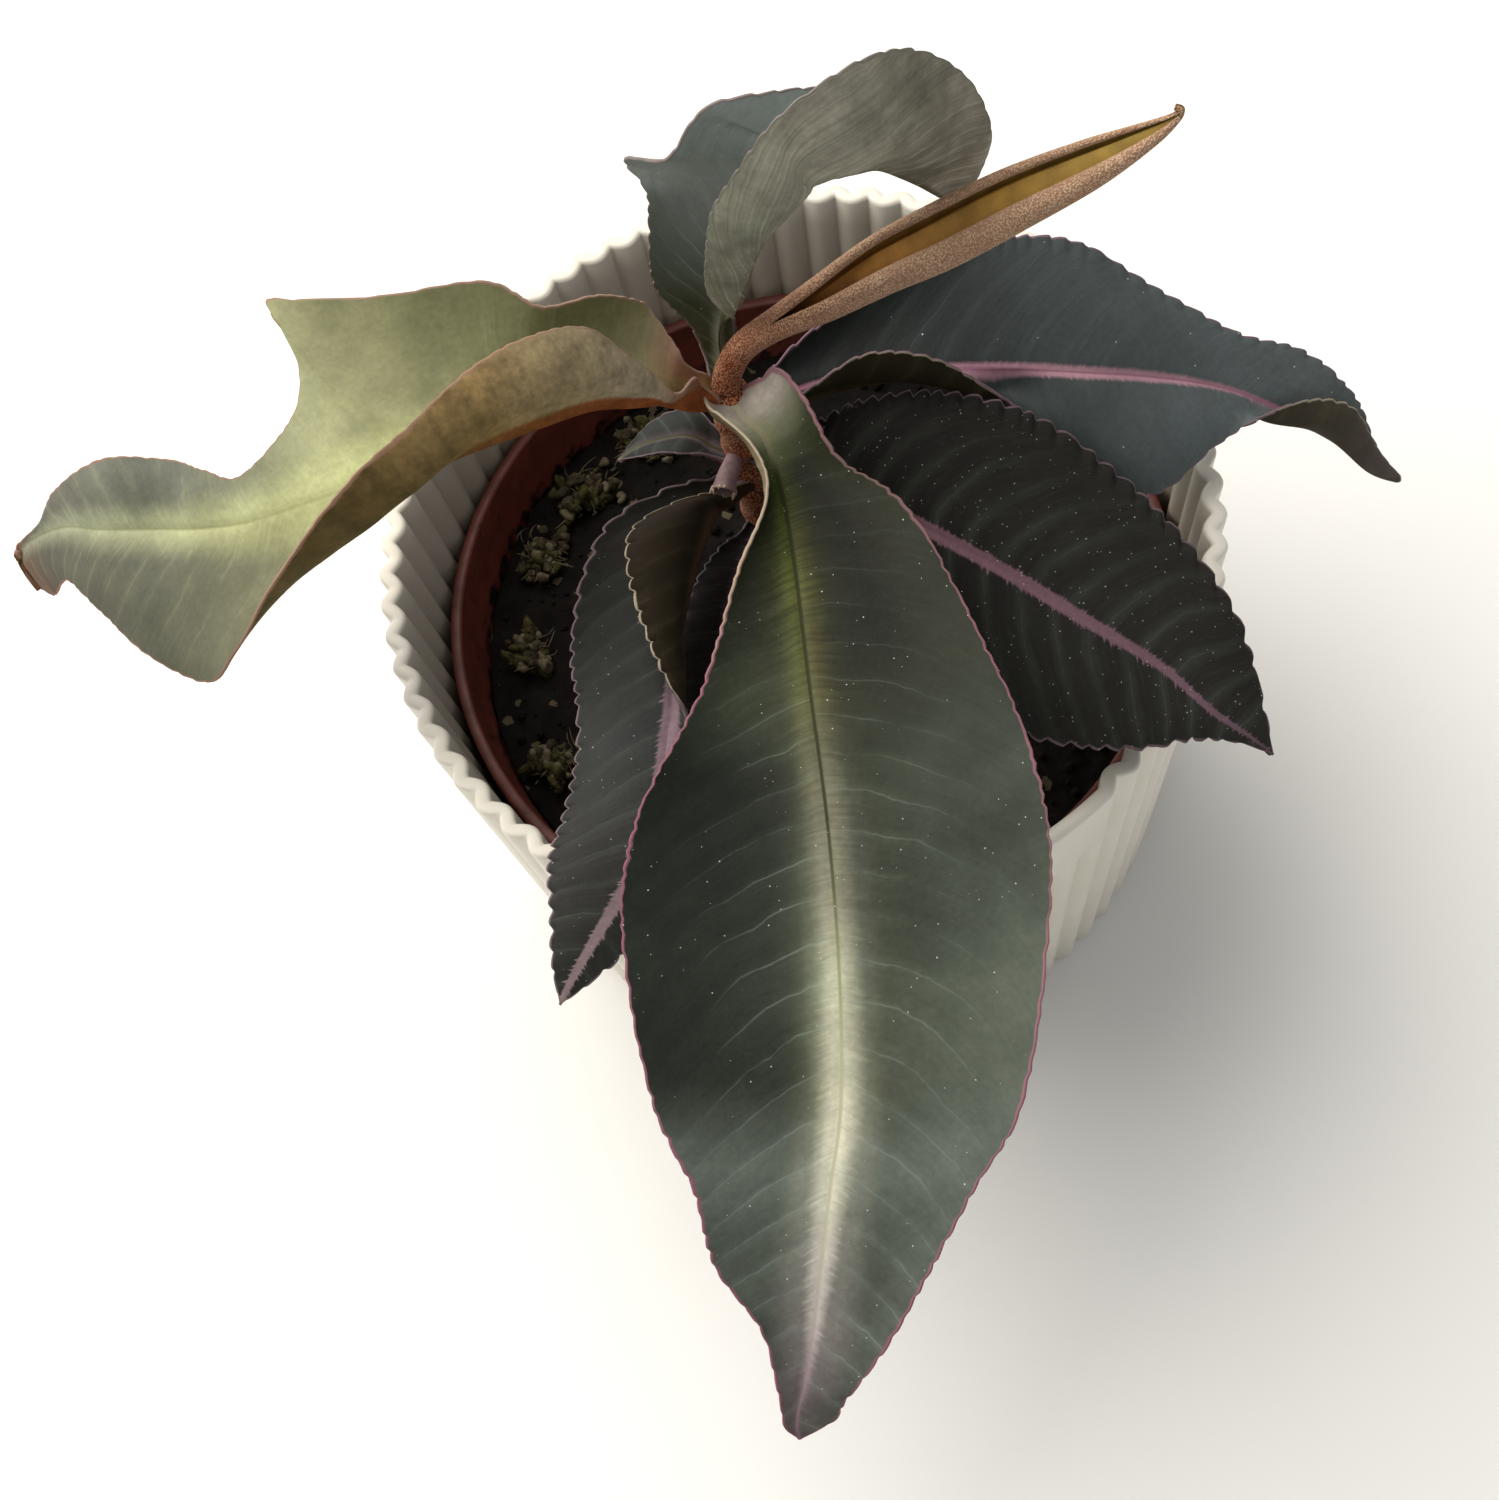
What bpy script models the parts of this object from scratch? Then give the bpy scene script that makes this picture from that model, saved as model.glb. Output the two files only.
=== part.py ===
"""A potted labisia: a young rosette plant in a red nursery pot, inside a white ribbed outer pot.

Lengths below are millimetres and angles degrees; MM turns them into Blender's metres. The origin is
the centre of the outer pot's underside, +Z is up, and the largest leaf hangs towards -Y.
"""

import math

import bmesh
import bpy
from mathutils import Vector, noise

MM = 0.001

# Outer pot: a thin wall folded into rounded ribs all the way round, with one smooth label panel.
POT_HEIGHT = 84.0
POT_TOP_RADIUS = 67.5
POT_FOOT_RADIUS = 60.5
POT_WALL = 2.5
POT_FLOOR = 3.0
POT_FOOT_BEVEL = 1.2
RIB_COUNT = 72
RIB_STEPS = 4
RIB_DEPTH = 1.6
PANEL_FROM = -100.0
PANEL_TO = -56.0
PANEL_FOOT = 64.0
PANEL_STEP = 1.2

# Nursery pot: rests on the outer pot's floor, with its rim band below the outer pot's rim.
SEAT_GAP = 0.3
NURSERY_RIM_TOP = 63.0
NURSERY_RIM_RADIUS = 60.6
NURSERY_RIM_DEPTH = 9.0
NURSERY_RIM_WIDTH = 2.0
NURSERY_RIM_ROUND = 0.5
NURSERY_NECK_RADIUS = 58.8
NURSERY_FOOT_RADIUS = 53.0
NURSERY_WALL = 1.4
NURSERY_FLOOR = 1.6
NURSERY_STEPS = 60
DRAIN_COUNT = 6
DRAIN_RADIUS = 4.0
DRAIN_CIRCLE = 34.0
DRAIN_STEPS = 12

# Soil: fills the nursery pot to 13 mm below its rim, lowest along the wall.
SOIL_TOP = 50.0
SOIL_CROWN = 1.0
SOIL_EDGE_DIP = 0.5
SOIL_EDGE_WIDTH = 6.0
CLUMP_REST = 51.3
CLUMP_BUMP = 0.28
CLUMP_SUNK = 0.35

# Stem: short and upright, slightly leaning, carrying every leaf.
STEM_FOOT = (-3.5, 11.5, 51.55)
STEM_TOP = (-6.5, 12.5, 107.0)
STEM_FOOT_RADIUS = 3.8
STEM_TOP_RADIUS = 3.1
STEM_ROWS = 8
STEM_STEPS = 12

LEAF_THICKNESS = 0.9
LEAF_ROWS = 2
LEAF_COLUMNS = 8
TIP_WIDTH = 0.5

# Each leaf is a row of cross-sections from the petiole to the tip: midrib, left margin and right
# margin, then how far the left and right halves bow out of their straight lines, up being positive.
# Left and right are those of someone looking along the leaf from above; the last point is the tip.
LEAVES = {
    "leaf_front": {
        "colour": (0.052, 0.066, 0.046, 1.0),
        "sections": [
            ((-5.7, 8.9, 106), (-4.1, 9, 106.5), (-7.3, 8.8, 106), -0.3, -0.3),
            ((-4, 5, 108.5), (1, 8, 112.5), (-6.5, 3, 110.5), -1.5, -0.5),
            ((-2, 0, 111), (5, 1, 116), (-3, -4, 115), -1.5, -1.0),
            ((-1, -11, 114), (8, -10, 118), (-3, -15, 119), -1.0, -1.0),
            ((-1, -25, 117), (16, -22, 121), (-9, -28, 122), -1.0, -1.0),
            ((-2, -45, 118.5), (21.8, -42.6, 121), (-16.8, -45.5, 122.5), -1.2, -1.2),
            ((-3, -66, 117.5), (25.6, -61.8, 119), (-27.6, -60.8, 121), -1.5, -1.5),
            ((-5, -85, 113), (24.7, -78.5, 114.5), (-32.5, -74.6, 116), -1.5, -1.5),
            ((-8, -100.9, 106.5), (16, -104.2, 109.5), (-32.3, -96.4, 110), -1.2, -1.2),
            ((-11.4, -110.6, 102.2), (7.2, -114.4, 105), (-28.9, -108.4, 106), -1.0, -0.8),
            ((-14.7, -120.3, 97.6), (-0.8, -123.3, 100), (-28, -117.6, 101.5), -0.8, -0.5),
            ((-17.3, -127.7, 94), (-7.2, -130, 95.5), (-23.6, -125.6, 97), -0.5, -0.3),
            ((-19.6, -133, 91), (-12.6, -134.4, 92), (-22.8, -133, 92.8), -0.3, -0.1),
            ((-21.1, -136, 89.3), (-15.7, -136.8, 89.5), (-22.9, -136.4, 90), -0.2, 0.0),
            ((-21.3, -138.8, 87.5),),
        ],
    },
    "leaf_left": {
        "colour": (0.21, 0.24, 0.15, 1.0),
        "sections": [
            ((-10.2, 12.1, 106), (-10.2, 10.4, 106.5), (-10.2, 13.9, 106.5), -0.3, -0.3),
            ((-13, 11, 110), (-12, 9.5, 114), (-12, 15, 113.5), -1.0, -1.0),
            ((-16, 10, 113.5), (-15, 9, 118), (-14, 19, 117), -1.5, -1.0),
            ((-20, 8, 117), (-19, 8, 126), (-16, 21, 121), -2.5, -2.0),
            ((-26, 6, 121), (-24, 8, 135), (-22, 19, 127), -3.5, -2.5),
            ((-33, 2, 125), (-32, 6, 138), (-30, 16, 131), -4.0, -3.0),
            ((-41, -1, 127), (-41, 2, 138), (-37, 20, 134), -5.0, -3.5),
            ((-50, -3, 127), (-51, -4, 137), (-52, 21, 134), -7.0, -3.0),
            ((-62, -4, 125), (-63, -12, 134), (-69.5, 26.6, 130), -8.0, -3.0),
            ((-75, -4, 121), (-77, -21, 123), (-66.5, 14.5, 127), -6.0, -1.0),
            ((-85, -1, 117), (-87.6, -23, 110), (-78, 3, 122), 1.0, 1.0),
            ((-94, 3, 113), (-99, -13, 105), (-89, 10, 120), 1.5, 1.0),
            ((-103.2, 6.7, 110), (-106.5, -2.8, 102), (-100.5, 14.9, 116.5), 1.0, 1.0),
            ((-110.8, 11.4, 105.5), (-111.4, 6, 100), (-110.3, 15.6, 110), 0.5, 0.5),
            ((-118, 14.2, 100), (-116.8, 11.9, 97.5), (-115.1, 14.1, 104), 0.3, 0.3),
            ((-123, 16, 93.5), (-123, 12.7, 90.5), (-121.3, 15.2, 97), 0.2, 0.2),
            ((-121.8, 14.7, 89), (-121, 13.5, 87), (-120.5, 14.4, 91.5), 0.1, 0.1),
            ((-116.3, 13.4, 89.5),),
        ],
    },
    "leaf_back": {
        "colour": (0.10, 0.115, 0.105, 1.0),
        "sections": [
            ((-6.5, 16.3, 106.5), (-8.2, 16.4, 107), (-4.8, 16.4, 107), -0.3, -0.3),
            ((-6, 17, 115), (-10, 19, 115), (-3.5, 16, 118), -1.0, -1.0),
            ((-3, 16, 126), (-14, 21, 124), (-6, 11, 134), -1.0, -2.5),
            ((0, 15, 136), (-13, 22, 135), (-5, 7, 148), -1.0, -4.0),
            ((3, 13, 144), (-12, 22, 144), (-3, 5, 159), -1.5, -4.5),
            ((7, 12, 150), (-14, 24, 149), (1, 4, 167), 0.0, -5.0),
            ((11, 12, 154), (-8, 15, 158), (6, 4, 174), -1.5, -5.0),
            ((16, 11, 155), (-2, 16, 165), (12, 5, 178), -2.0, -5.0),
            ((20, 13, 152), (6, 16, 166), (19, 8, 178), -2.0, -5.0),
            ((24, 15, 146), (15, 19, 161), (26, 13, 172), -2.0, -4.0),
            ((27, 18, 139), (24, 21, 151), (33, 16, 161), -1.0, -2.0),
            ((30, 21, 132), (29, 22, 140), (36, 18, 146), -0.5, -1.0),
            ((33, 25, 125),),
        ],
    },
    "leaf_right_upper": {
        "colour": (0.045, 0.058, 0.06, 1.0),
        "sections": [
            ((-2.8, 14.1, 98), (-3.8, 15.3, 98.5), (-2.3, 12.5, 98.5), -0.3, -0.3),
            ((5, 15, 100), (5, 21, 103), (5, 11, 104.5), -1.0, -1.0),
            ((14, 15, 101), (18, 26, 106), (15, 12, 110), -1.5, -2.5),
            ((24, 13, 102), (29, 28, 108), (25, 9, 110), -1.0, -3.0),
            ((35, 10, 102.5), (40, 29, 109), (34, 5, 103), 0.0, -3.0),
            ((46, 7, 102), (51, 26, 108), (43, -3, 96), 1.0, 1.0),
            ((57, 5, 100), (62, 17, 104), (54, -11, 92), 1.0, 1.5),
            ((67, 3, 97), (72, 10, 100), (66, -5, 93), 0.5, 1.0),
            ((76, 0, 93), (82, 7, 96), (77, -2, 96), 0.5, -2.5),
            ((85, -3, 86), (89, 1, 90), (87, -1, 91), 0.5, -2.5),
            ((91, -6, 79), (92, -3, 82), (91.5, -5, 83), 0.3, -1.0),
            ((96, -6, 74),),
        ],
    },
    "leaf_right_lower": {
        "colour": (0.028, 0.026, 0.026, 1.0),
        "sections": [
            ((-2.3, 10.2, 91), (-1.7, 11.7, 91.5), (-3.4, 8.9, 91.5), -0.3, -0.3),
            ((3, 4, 95), (6, 8, 98), (-1, 0, 95), -0.5, -0.5),
            ((11, -6, 99.5), (15, 7, 102), (2, -15, 96), 0.5, 0.5),
            ((20, -16, 102), (27, 4, 103.5), (9, -31, 97), 1.0, 1.5),
            ((30, -26, 102.5), (38, -2, 103), (19, -44, 97), 1.5, 1.5),
            ((39, -35, 101.5), (49, -12, 102), (30, -50, 95), 1.5, 1.5),
            ((48, -43, 99), (56, -24, 100.5), (42, -53, 93.5), 1.5, 1.0),
            ((54, -50, 96), (61, -37, 98), (51, -53, 93), 1.0, 0.5),
            ((59, -54, 93), (62, -48, 94), (57, -54, 92), 0.3, 0.2),
            ((62, -56, 90),),
        ],
    },
    "leaf_front_left": {
        "colour": (0.045, 0.048, 0.046, 1.0),
        "sections": [
            ((-7.7, 9.1, 84), (-6.5, 8.3, 84.5), (-8.9, 10.1, 84.5), -0.3, -0.3),
            ((-12, 6, 87), (-15, 4, 92), (-16, 9, 89), -1.5, -1.0),
            ((-15, 0, 89), (-24, -3, 98), (-28, 3, 92), -4.0, -1.0),
            ((-18, -8, 91), (-26, -11, 101), (-34, -8, 94), -4.0, -1.0),
            ((-21, -18, 93), (-25, -22, 101), (-37, -21, 95), -3.0, -0.5),
            ((-22, -28, 94.5), (-23, -30, 99), (-37, -29, 96), -1.5, 0.5),
            ((-24, -38, 95.5), (-20, -39, 93), (-38, -39, 97), 0.5, 1.0),
            ((-27, -49, 96), (-21, -50, 91), (-41, -48, 97), 0.5, 1.0),
            ((-32, -58, 95), (-26, -60, 90), (-44, -54, 96), 0.5, 1.0),
            ((-38, -65, 93), (-34, -67, 89), (-45, -61, 94), 0.5, 0.5),
            ((-43, -70, 90), (-41, -71, 88), (-46, -68, 91), 0.2, 0.2),
            ((-46, -73, 87),),
        ],
    },
    "leaf_small_front": {
        "colour": (0.035, 0.028, 0.036, 1.0),
        "sections": [
            ((-5.6, 7.9, 71), (-4.4, 7.8, 71.3), (-6.8, 8.2, 71.3), -0.2, -0.2),
            ((-8, 3, 74), (-5, 1, 74.5), (-12, 5, 75), -0.5, -0.5),
            ((-12, -6, 76), (-5, -9, 75.5), (-18, -3, 77), 0.5, 0.5),
            ((-15, -15, 75.5), (-8, -18, 74), (-22, -13, 77), 0.8, 0.8),
            ((-18, -22, 73), (-13, -25, 71), (-23, -20, 74), 0.5, 0.5),
            ((-21, -28, 69),),
        ],
    },
    "leaf_small_left": {
        "colour": (0.085, 0.085, 0.085, 1.0),
        "sections": [
            ((-9.4, 12.8, 87), (-9.3, 11.6, 87.3), (-9.3, 14, 87.3), -0.2, -0.2),
            ((-11, 14.5, 90), (-11.5, 12, 91), (-10, 17.5, 91), -0.5, -0.5),
            ((-14, 15.5, 92), (-15, 11.5, 93), (-13, 21, 91.5), 0.3, 0.5),
            ((-18, 15.8, 92), (-18.5, 12.5, 93), (-18, 20.5, 91.5), 0.3, 0.5),
            ((-22, 16, 91), (-22, 13.5, 91.5), (-22, 18.5, 90.5), 0.2, 0.3),
            ((-26, 16, 88),),
        ],
    },
}

# The newest leaf is still rolled: a downy tube with two lips, seen here as its centre line, with
# the half width and half height of each section.
ROLLED_LEAF = [
    ((-6.5, 12.6, 108.4), 2.2, 2.2),
    ((-5.2, 13.2, 111.5), 2.2, 2.2),
    ((-2.5, 13.3, 116), 2.2, 2.2),
    ((2.5, 12.0, 121.5), 2.4, 2.3),
    ((10, 10.2, 128), 3.6, 2.6),
    ((18.5, 8.8, 135), 4.3, 2.7),
    ((27, 7.2, 141), 4.5, 2.7),
    ((36.5, 5.5, 148), 4.2, 2.5),
    ((46.5, 4.2, 154), 3.2, 2.0),
    ((54, 3.9, 158), 1.7, 1.3),
    ((58, 4.4, 160.5), 0.5, 0.5),
]
ROLLED_GROOVE = 0.55
ROLLED_ROWS = 2
ROLLED_STEPS = 12

# The dried stump of a dropped leaf, and a pair of buds in the joints of the stem.
PETIOLE_STUB = [
    ((-7.5, 8.8, 91.9), 1.5),
    ((-8.6, 6.4, 91.2), 1.8),
    ((-9.6, 3.6, 89.6), 1.7),
    ((-10.2, 1.2, 87.7), 1.1),
]
STUB_STEPS = 10
BUDS = [(-2.9, 7.7, 81.0, 1.5), (-4.0, 7.1, 75.8, 1.3)]
BUD_SHAPE = (0.8, 0.8, 1.25)

# Lumps of moss and perlite lying on the soil: x, y, half length, half width, half height, turn.
MOSS_CLUMPS = [
    (-35, 34, 7.0, 5.5, 3.2, 20),
    (-22, 42, 7.5, 5.0, 3.0, 150),
    (-44, 23, 6.0, 5.0, 2.6, 60),
    (-49, 4, 5.0, 3.6, 2.2, 100),
    (-47, -18, 5.5, 4.0, 2.4, 130),
]


def material(name, colour, roughness):
    """A plain Principled material with the piece's own colour."""
    made = bpy.data.materials.new(name)
    made.use_nodes = True
    shader = made.node_tree.nodes["Principled BSDF"]
    shader.inputs["Base Color"].default_value = colour
    shader.inputs["Roughness"].default_value = roughness
    shader.inputs["Metallic"].default_value = 0.0
    made.diffuse_color = colour
    return made


def add_object(name, mesh_data, finish):
    """Turns a bmesh into a named object in the scene and shades it smooth."""
    mesh = bpy.data.meshes.new(name)
    mesh_data.to_mesh(mesh)
    mesh_data.free()
    mesh.materials.append(finish)
    mesh.shade_smooth()
    piece = bpy.data.objects.new(name, mesh)
    bpy.context.scene.collection.objects.link(piece)
    return piece


def curve_through(points, t):
    """The Catmull-Rom curve through the points, at t from 0 to 1."""
    spans = len(points) - 1
    index = min(int(t * spans), spans - 1)
    local = t * spans - index
    before = points[max(index - 1, 0)]
    start, end = points[index], points[index + 1]
    after = points[min(index + 2, spans)]
    slope_in = (end - before) * 0.5
    slope_out = (after - start) * 0.5
    square, cube = local * local, local**3
    return (
        start * (2 * cube - 3 * square + 1)
        + slope_in * (cube - 2 * square + local)
        + end * (3 * square - 2 * cube)
        + slope_out * (cube - square)
    )


def wall_radius(angle, height, inside):
    """The outer pot's radius: rounded ribs that meet in grooves, level with their crests on the panel.
    The inside's ribs stand in the outside's grooves, so the wall keeps its thickness all round."""
    crest = POT_FOOT_RADIUS + (POT_TOP_RADIUS - POT_FOOT_RADIUS) * height / POT_HEIGHT
    degrees = (math.degrees(angle) + 180) % 360 - 180
    depth = RIB_DEPTH
    if height > PANEL_FOOT and PANEL_FROM <= degrees <= PANEL_TO:
        depth = 0.0
    turn = angle * RIB_COUNT / 2
    if inside:
        return crest - POT_WALL - depth * abs(math.sin(turn))
    return crest - depth * (1 - abs(math.cos(turn)))


def make_outer_pot():
    steps = RIB_COUNT * RIB_STEPS
    rows = [
        (0.0, POT_FOOT_BEVEL, False),
        (POT_FOOT_BEVEL, 0.0, False),
        (PANEL_FOOT, 0.0, False),
        (PANEL_FOOT + PANEL_STEP, 0.0, False),
        (POT_HEIGHT, 0.0, False),
        (POT_HEIGHT, 0.0, True),
        (PANEL_FOOT + PANEL_STEP, 0.0, True),
        (PANEL_FOOT, 0.0, True),
        (POT_FLOOR, 0.0, True),
    ]
    pot = bmesh.new()
    ring = bmesh.ops.create_circle(pot, segments=steps, radius=1.0, cap_ends=False)["verts"]
    edges = pot.edges[:]
    for row, (height, inset, inside) in enumerate(rows):
        if row:
            grown = bmesh.ops.extrude_edge_only(pot, edges=edges)["geom"]
            ring = [item for item in grown if isinstance(item, bmesh.types.BMVert)]
            edges = [item for item in grown if isinstance(item, bmesh.types.BMEdge)]
        for vert in ring:
            angle = math.atan2(vert.co.y, vert.co.x)
            radius = wall_radius(angle, height, inside) - inset
            vert.co = (math.cos(angle) * radius * MM, math.sin(angle) * radius * MM, height * MM)
    bmesh.ops.holes_fill(pot, edges=pot.edges[:], sides=0)
    bmesh.ops.recalc_face_normals(pot, faces=pot.faces)
    return add_object("outer_pot", pot, material("ivory_plastic", (0.83, 0.80, 0.72, 1.0), 0.42))


def turned(profile, steps):
    """Turns a closed outline of (radius, height) points about Z into a ring-shaped solid."""
    made = bmesh.new()
    corners = [made.verts.new((radius * MM, 0.0, height * MM)) for radius, height in profile]
    for first, second in zip(corners, corners[1:]):
        made.edges.new((first, second))
    bmesh.ops.spin(
        made, geom=made.verts[:] + made.edges[:], cent=(0, 0, 0), axis=(0, 0, 1),
        angle=math.tau, steps=steps, use_merge=True,
    )
    bmesh.ops.remove_doubles(made, verts=made.verts[:], dist=0.00001)
    bmesh.ops.recalc_face_normals(made, faces=made.faces)
    return made


def make_nursery_pot():
    foot = POT_FLOOR + SEAT_GAP
    band_foot = NURSERY_RIM_TOP - NURSERY_RIM_DEPTH
    rim_inner = NURSERY_RIM_RADIUS - NURSERY_RIM_WIDTH
    profile = [
        (0.0, foot),
        (NURSERY_FOOT_RADIUS, foot),
        (NURSERY_NECK_RADIUS, band_foot),
        (NURSERY_RIM_RADIUS - NURSERY_RIM_ROUND, band_foot),
        (NURSERY_RIM_RADIUS, NURSERY_RIM_TOP - NURSERY_RIM_ROUND),
        (NURSERY_RIM_RADIUS - NURSERY_RIM_ROUND, NURSERY_RIM_TOP),
        (rim_inner + NURSERY_RIM_ROUND, NURSERY_RIM_TOP),
        (rim_inner, NURSERY_RIM_TOP - NURSERY_RIM_ROUND),
        (NURSERY_NECK_RADIUS - NURSERY_WALL, band_foot),
        (NURSERY_FOOT_RADIUS - NURSERY_WALL, foot + NURSERY_FLOOR),
        (0.0, foot + NURSERY_FLOOR),
    ]
    red = material("red_polypropylene", (0.20, 0.035, 0.025, 1.0), 0.5)
    pot = add_object("nursery_pot", turned(profile, NURSERY_STEPS), red)

    drains = bmesh.new()
    for index in range(DRAIN_COUNT):
        angle = math.tau * index / DRAIN_COUNT
        hole = bmesh.ops.create_cone(
            drains, cap_ends=True, segments=DRAIN_STEPS, radius1=DRAIN_RADIUS * MM,
            radius2=DRAIN_RADIUS * MM, depth=6 * NURSERY_FLOOR * MM,
        )["verts"]
        place = Vector((math.cos(angle), math.sin(angle), 0)) * DRAIN_CIRCLE + Vector((0, 0, foot))
        bmesh.ops.translate(drains, verts=hole, vec=place * MM)
    cutter = add_object("drain_cutter", drains, red)
    cutter.hide_render = True
    cutter.display_type = "WIRE"
    cut = pot.modifiers.new("drain_holes", "BOOLEAN")
    cut.operation = "DIFFERENCE"
    cut.solver = "EXACT"
    cut.object = cutter
    return pot


def make_soil():
    foot = POT_FLOOR + 2 * SEAT_GAP + NURSERY_FLOOR
    band_foot = NURSERY_RIM_TOP - NURSERY_RIM_DEPTH
    climb = (SOIL_TOP - foot) / (band_foot - foot)
    foot_radius = NURSERY_FOOT_RADIUS - NURSERY_WALL - SEAT_GAP
    neck_radius = NURSERY_NECK_RADIUS - NURSERY_WALL - SEAT_GAP
    top_radius = foot_radius + (neck_radius - foot_radius) * climb
    profile = [
        (0.0, foot),
        (foot_radius, foot),
        (top_radius, SOIL_TOP - SOIL_EDGE_DIP),
        (top_radius - SOIL_EDGE_WIDTH, SOIL_TOP + SOIL_CROWN),
        (0.0, SOIL_TOP + SOIL_CROWN),
    ]
    peat = material("potting_soil", (0.012, 0.009, 0.007, 1.0), 0.95)
    return add_object("soil", turned(profile, NURSERY_STEPS), peat)


def make_moss_clumps():
    finish = material("moss_and_perlite", (0.15, 0.13, 0.07, 1.0), 0.95)
    for index, (x, y, length, width, height, turn) in enumerate(MOSS_CLUMPS):
        clump = bmesh.new()
        bmesh.ops.create_icosphere(clump, subdivisions=2, radius=1.0)
        spin = math.radians(turn)
        for vert in clump.verts:
            bump = 1.0 + CLUMP_BUMP * noise.noise(vert.co * 1.7 + Vector((index * 5.3, 0, 0)))
            across = Vector((vert.co.x * length, vert.co.y * width, 0)) * bump
            up = (max(vert.co.z * bump, -CLUMP_SUNK) + CLUMP_SUNK) * height
            vert.co = Vector((
                x + across.x * math.cos(spin) - across.y * math.sin(spin),
                y + across.x * math.sin(spin) + across.y * math.cos(spin),
                CLUMP_REST + up,
            )) * MM
        add_object(f"moss_clump_{index + 1}", clump, finish)


def tube_along(points, widths, heights, steps, groove=0.0):
    """A closed tube through the points. Its top is pressed in along the middle by the groove."""
    tube = bmesh.new()
    ring = bmesh.ops.create_circle(tube, segments=steps, radius=1.0, cap_ends=False)["verts"]
    edges = tube.edges[:]
    shape = [(math.cos(math.atan2(v.co.y, v.co.x)), math.sin(math.atan2(v.co.y, v.co.x))) for v in ring]
    for row, centre in enumerate(points):
        ahead = points[min(row + 1, len(points) - 1)] - points[max(row - 1, 0)]
        ahead.normalize()
        side = ahead.cross(Vector((0, 0, 1)) if abs(ahead.z) < 0.95 else Vector((0, 1, 0))).normalized()
        up = side.cross(ahead)
        if row:
            grown = bmesh.ops.extrude_edge_only(tube, edges=edges)["geom"]
            ring = [item for item in grown if isinstance(item, bmesh.types.BMVert)]
            edges = [item for item in grown if isinstance(item, bmesh.types.BMEdge)]
            # An extruded ring keeps the places of the one before it, which gives its order round.
            shape = [shape_at(vert.co, last_frame) for vert in ring]
        for vert, (across, rise) in zip(ring, shape):
            lift = rise * heights[row]
            if rise > 0:
                lift -= groove * heights[row] * (1 - abs(across)) * rise
            vert.co = (centre + side * across * widths[row] + up * lift) * MM
        last_frame = (centre, side, up, widths[row], heights[row], groove)
    bmesh.ops.holes_fill(tube, edges=tube.edges[:], sides=0)
    bmesh.ops.recalc_face_normals(tube, faces=tube.faces)
    return tube


def shape_at(place, frame):
    """Where on the unit circle a tube's point lies, from the section that it was placed on."""
    centre, side, up, width, height, groove = frame
    offset = place / MM - centre
    across = max(-1.0, min(1.0, offset.dot(side) / width))
    lift = offset.dot(up) / height
    if lift > 0:
        lift /= 1 - groove * (1 - abs(across))
    return across, lift


def make_stem():
    foot, top = Vector(STEM_FOOT), Vector(STEM_TOP)
    shares = [row / STEM_ROWS for row in range(STEM_ROWS + 1)]
    points = [foot.lerp(top, share) for share in shares]
    radii = [STEM_FOOT_RADIUS + (STEM_TOP_RADIUS - STEM_FOOT_RADIUS) * share for share in shares]
    tube = tube_along(points, radii, radii, STEM_STEPS)
    return add_object("stem", tube, material("downy_stem", (0.28, 0.085, 0.035, 1.0), 0.8))


def leaf_point(sections, along, across):
    """A point on the leaf's middle surface: along runs from 0 to 1, across from -1 (left) to 1."""
    step = 0.002
    midribs = [Vector(section[0]) for section in sections]
    side = 1 if across < 0 else 2
    bow_side = 3 if across < 0 else 4
    margins = [Vector(section[side]) if len(section) > 1 else Vector(section[0]) for section in sections]
    bows = [Vector((section[bow_side] if len(section) > 1 else 0.0, 0, 0)) for section in sections]
    midrib = curve_through(midribs, along)
    ahead = curve_through(midribs, min(along + step, 1)) - curve_through(midribs, max(along - step, 0))
    ahead.normalize()
    reach = curve_through(margins, along) - midrib
    up = ahead.cross(reach) if across < 0 else reach.cross(ahead)
    if up.length > 0:
        up.normalize()
    share = abs(across)
    bow = curve_through(bows, along).x
    return midrib + reach * share + up * bow * 4 * share * (1 - share)


def make_leaf(name, design):
    sections = design["sections"]
    rows = (len(sections) - 1) * LEAF_ROWS
    leaf = bmesh.new()
    bmesh.ops.create_grid(leaf, x_segments=LEAF_COLUMNS, y_segments=rows, size=1.0)
    last_side = Vector((1, 0, 0))
    for vert in sorted(leaf.verts, key=lambda v: v.co.y):
        across, along = vert.co.x, (vert.co.y + 1) / 2
        place = leaf_point(sections, along, across)
        if along > 0.9999:
            place += last_side * across * TIP_WIDTH
        elif abs(across - 1) < 0.0001:
            last_side = (place - leaf_point(sections, along, 0)).normalized()
        vert.co = place * MM
    finish = material(name + "_blade", design["colour"], 0.55)
    piece = add_object(name, leaf, finish)
    skin = piece.modifiers.new("thickness", "SOLIDIFY")
    skin.thickness = LEAF_THICKNESS * MM
    skin.offset = 0.0
    skin.use_rim = True
    return piece


def make_rolled_leaf():
    rows = (len(ROLLED_LEAF) - 1) * ROLLED_ROWS
    centres = [Vector(point) for point, _, _ in ROLLED_LEAF]
    sizes = [Vector((width, height, 0)) for _, width, height in ROLLED_LEAF]
    points = [curve_through(centres, row / rows) for row in range(rows + 1)]
    spans = [curve_through(sizes, row / rows) for row in range(rows + 1)]
    tube = tube_along(points, [s.x for s in spans], [s.y for s in spans], ROLLED_STEPS, ROLLED_GROOVE)
    return add_object("leaf_rolled", tube, material("downy_young_leaf", (0.32, 0.14, 0.07, 1.0), 0.85))


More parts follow.
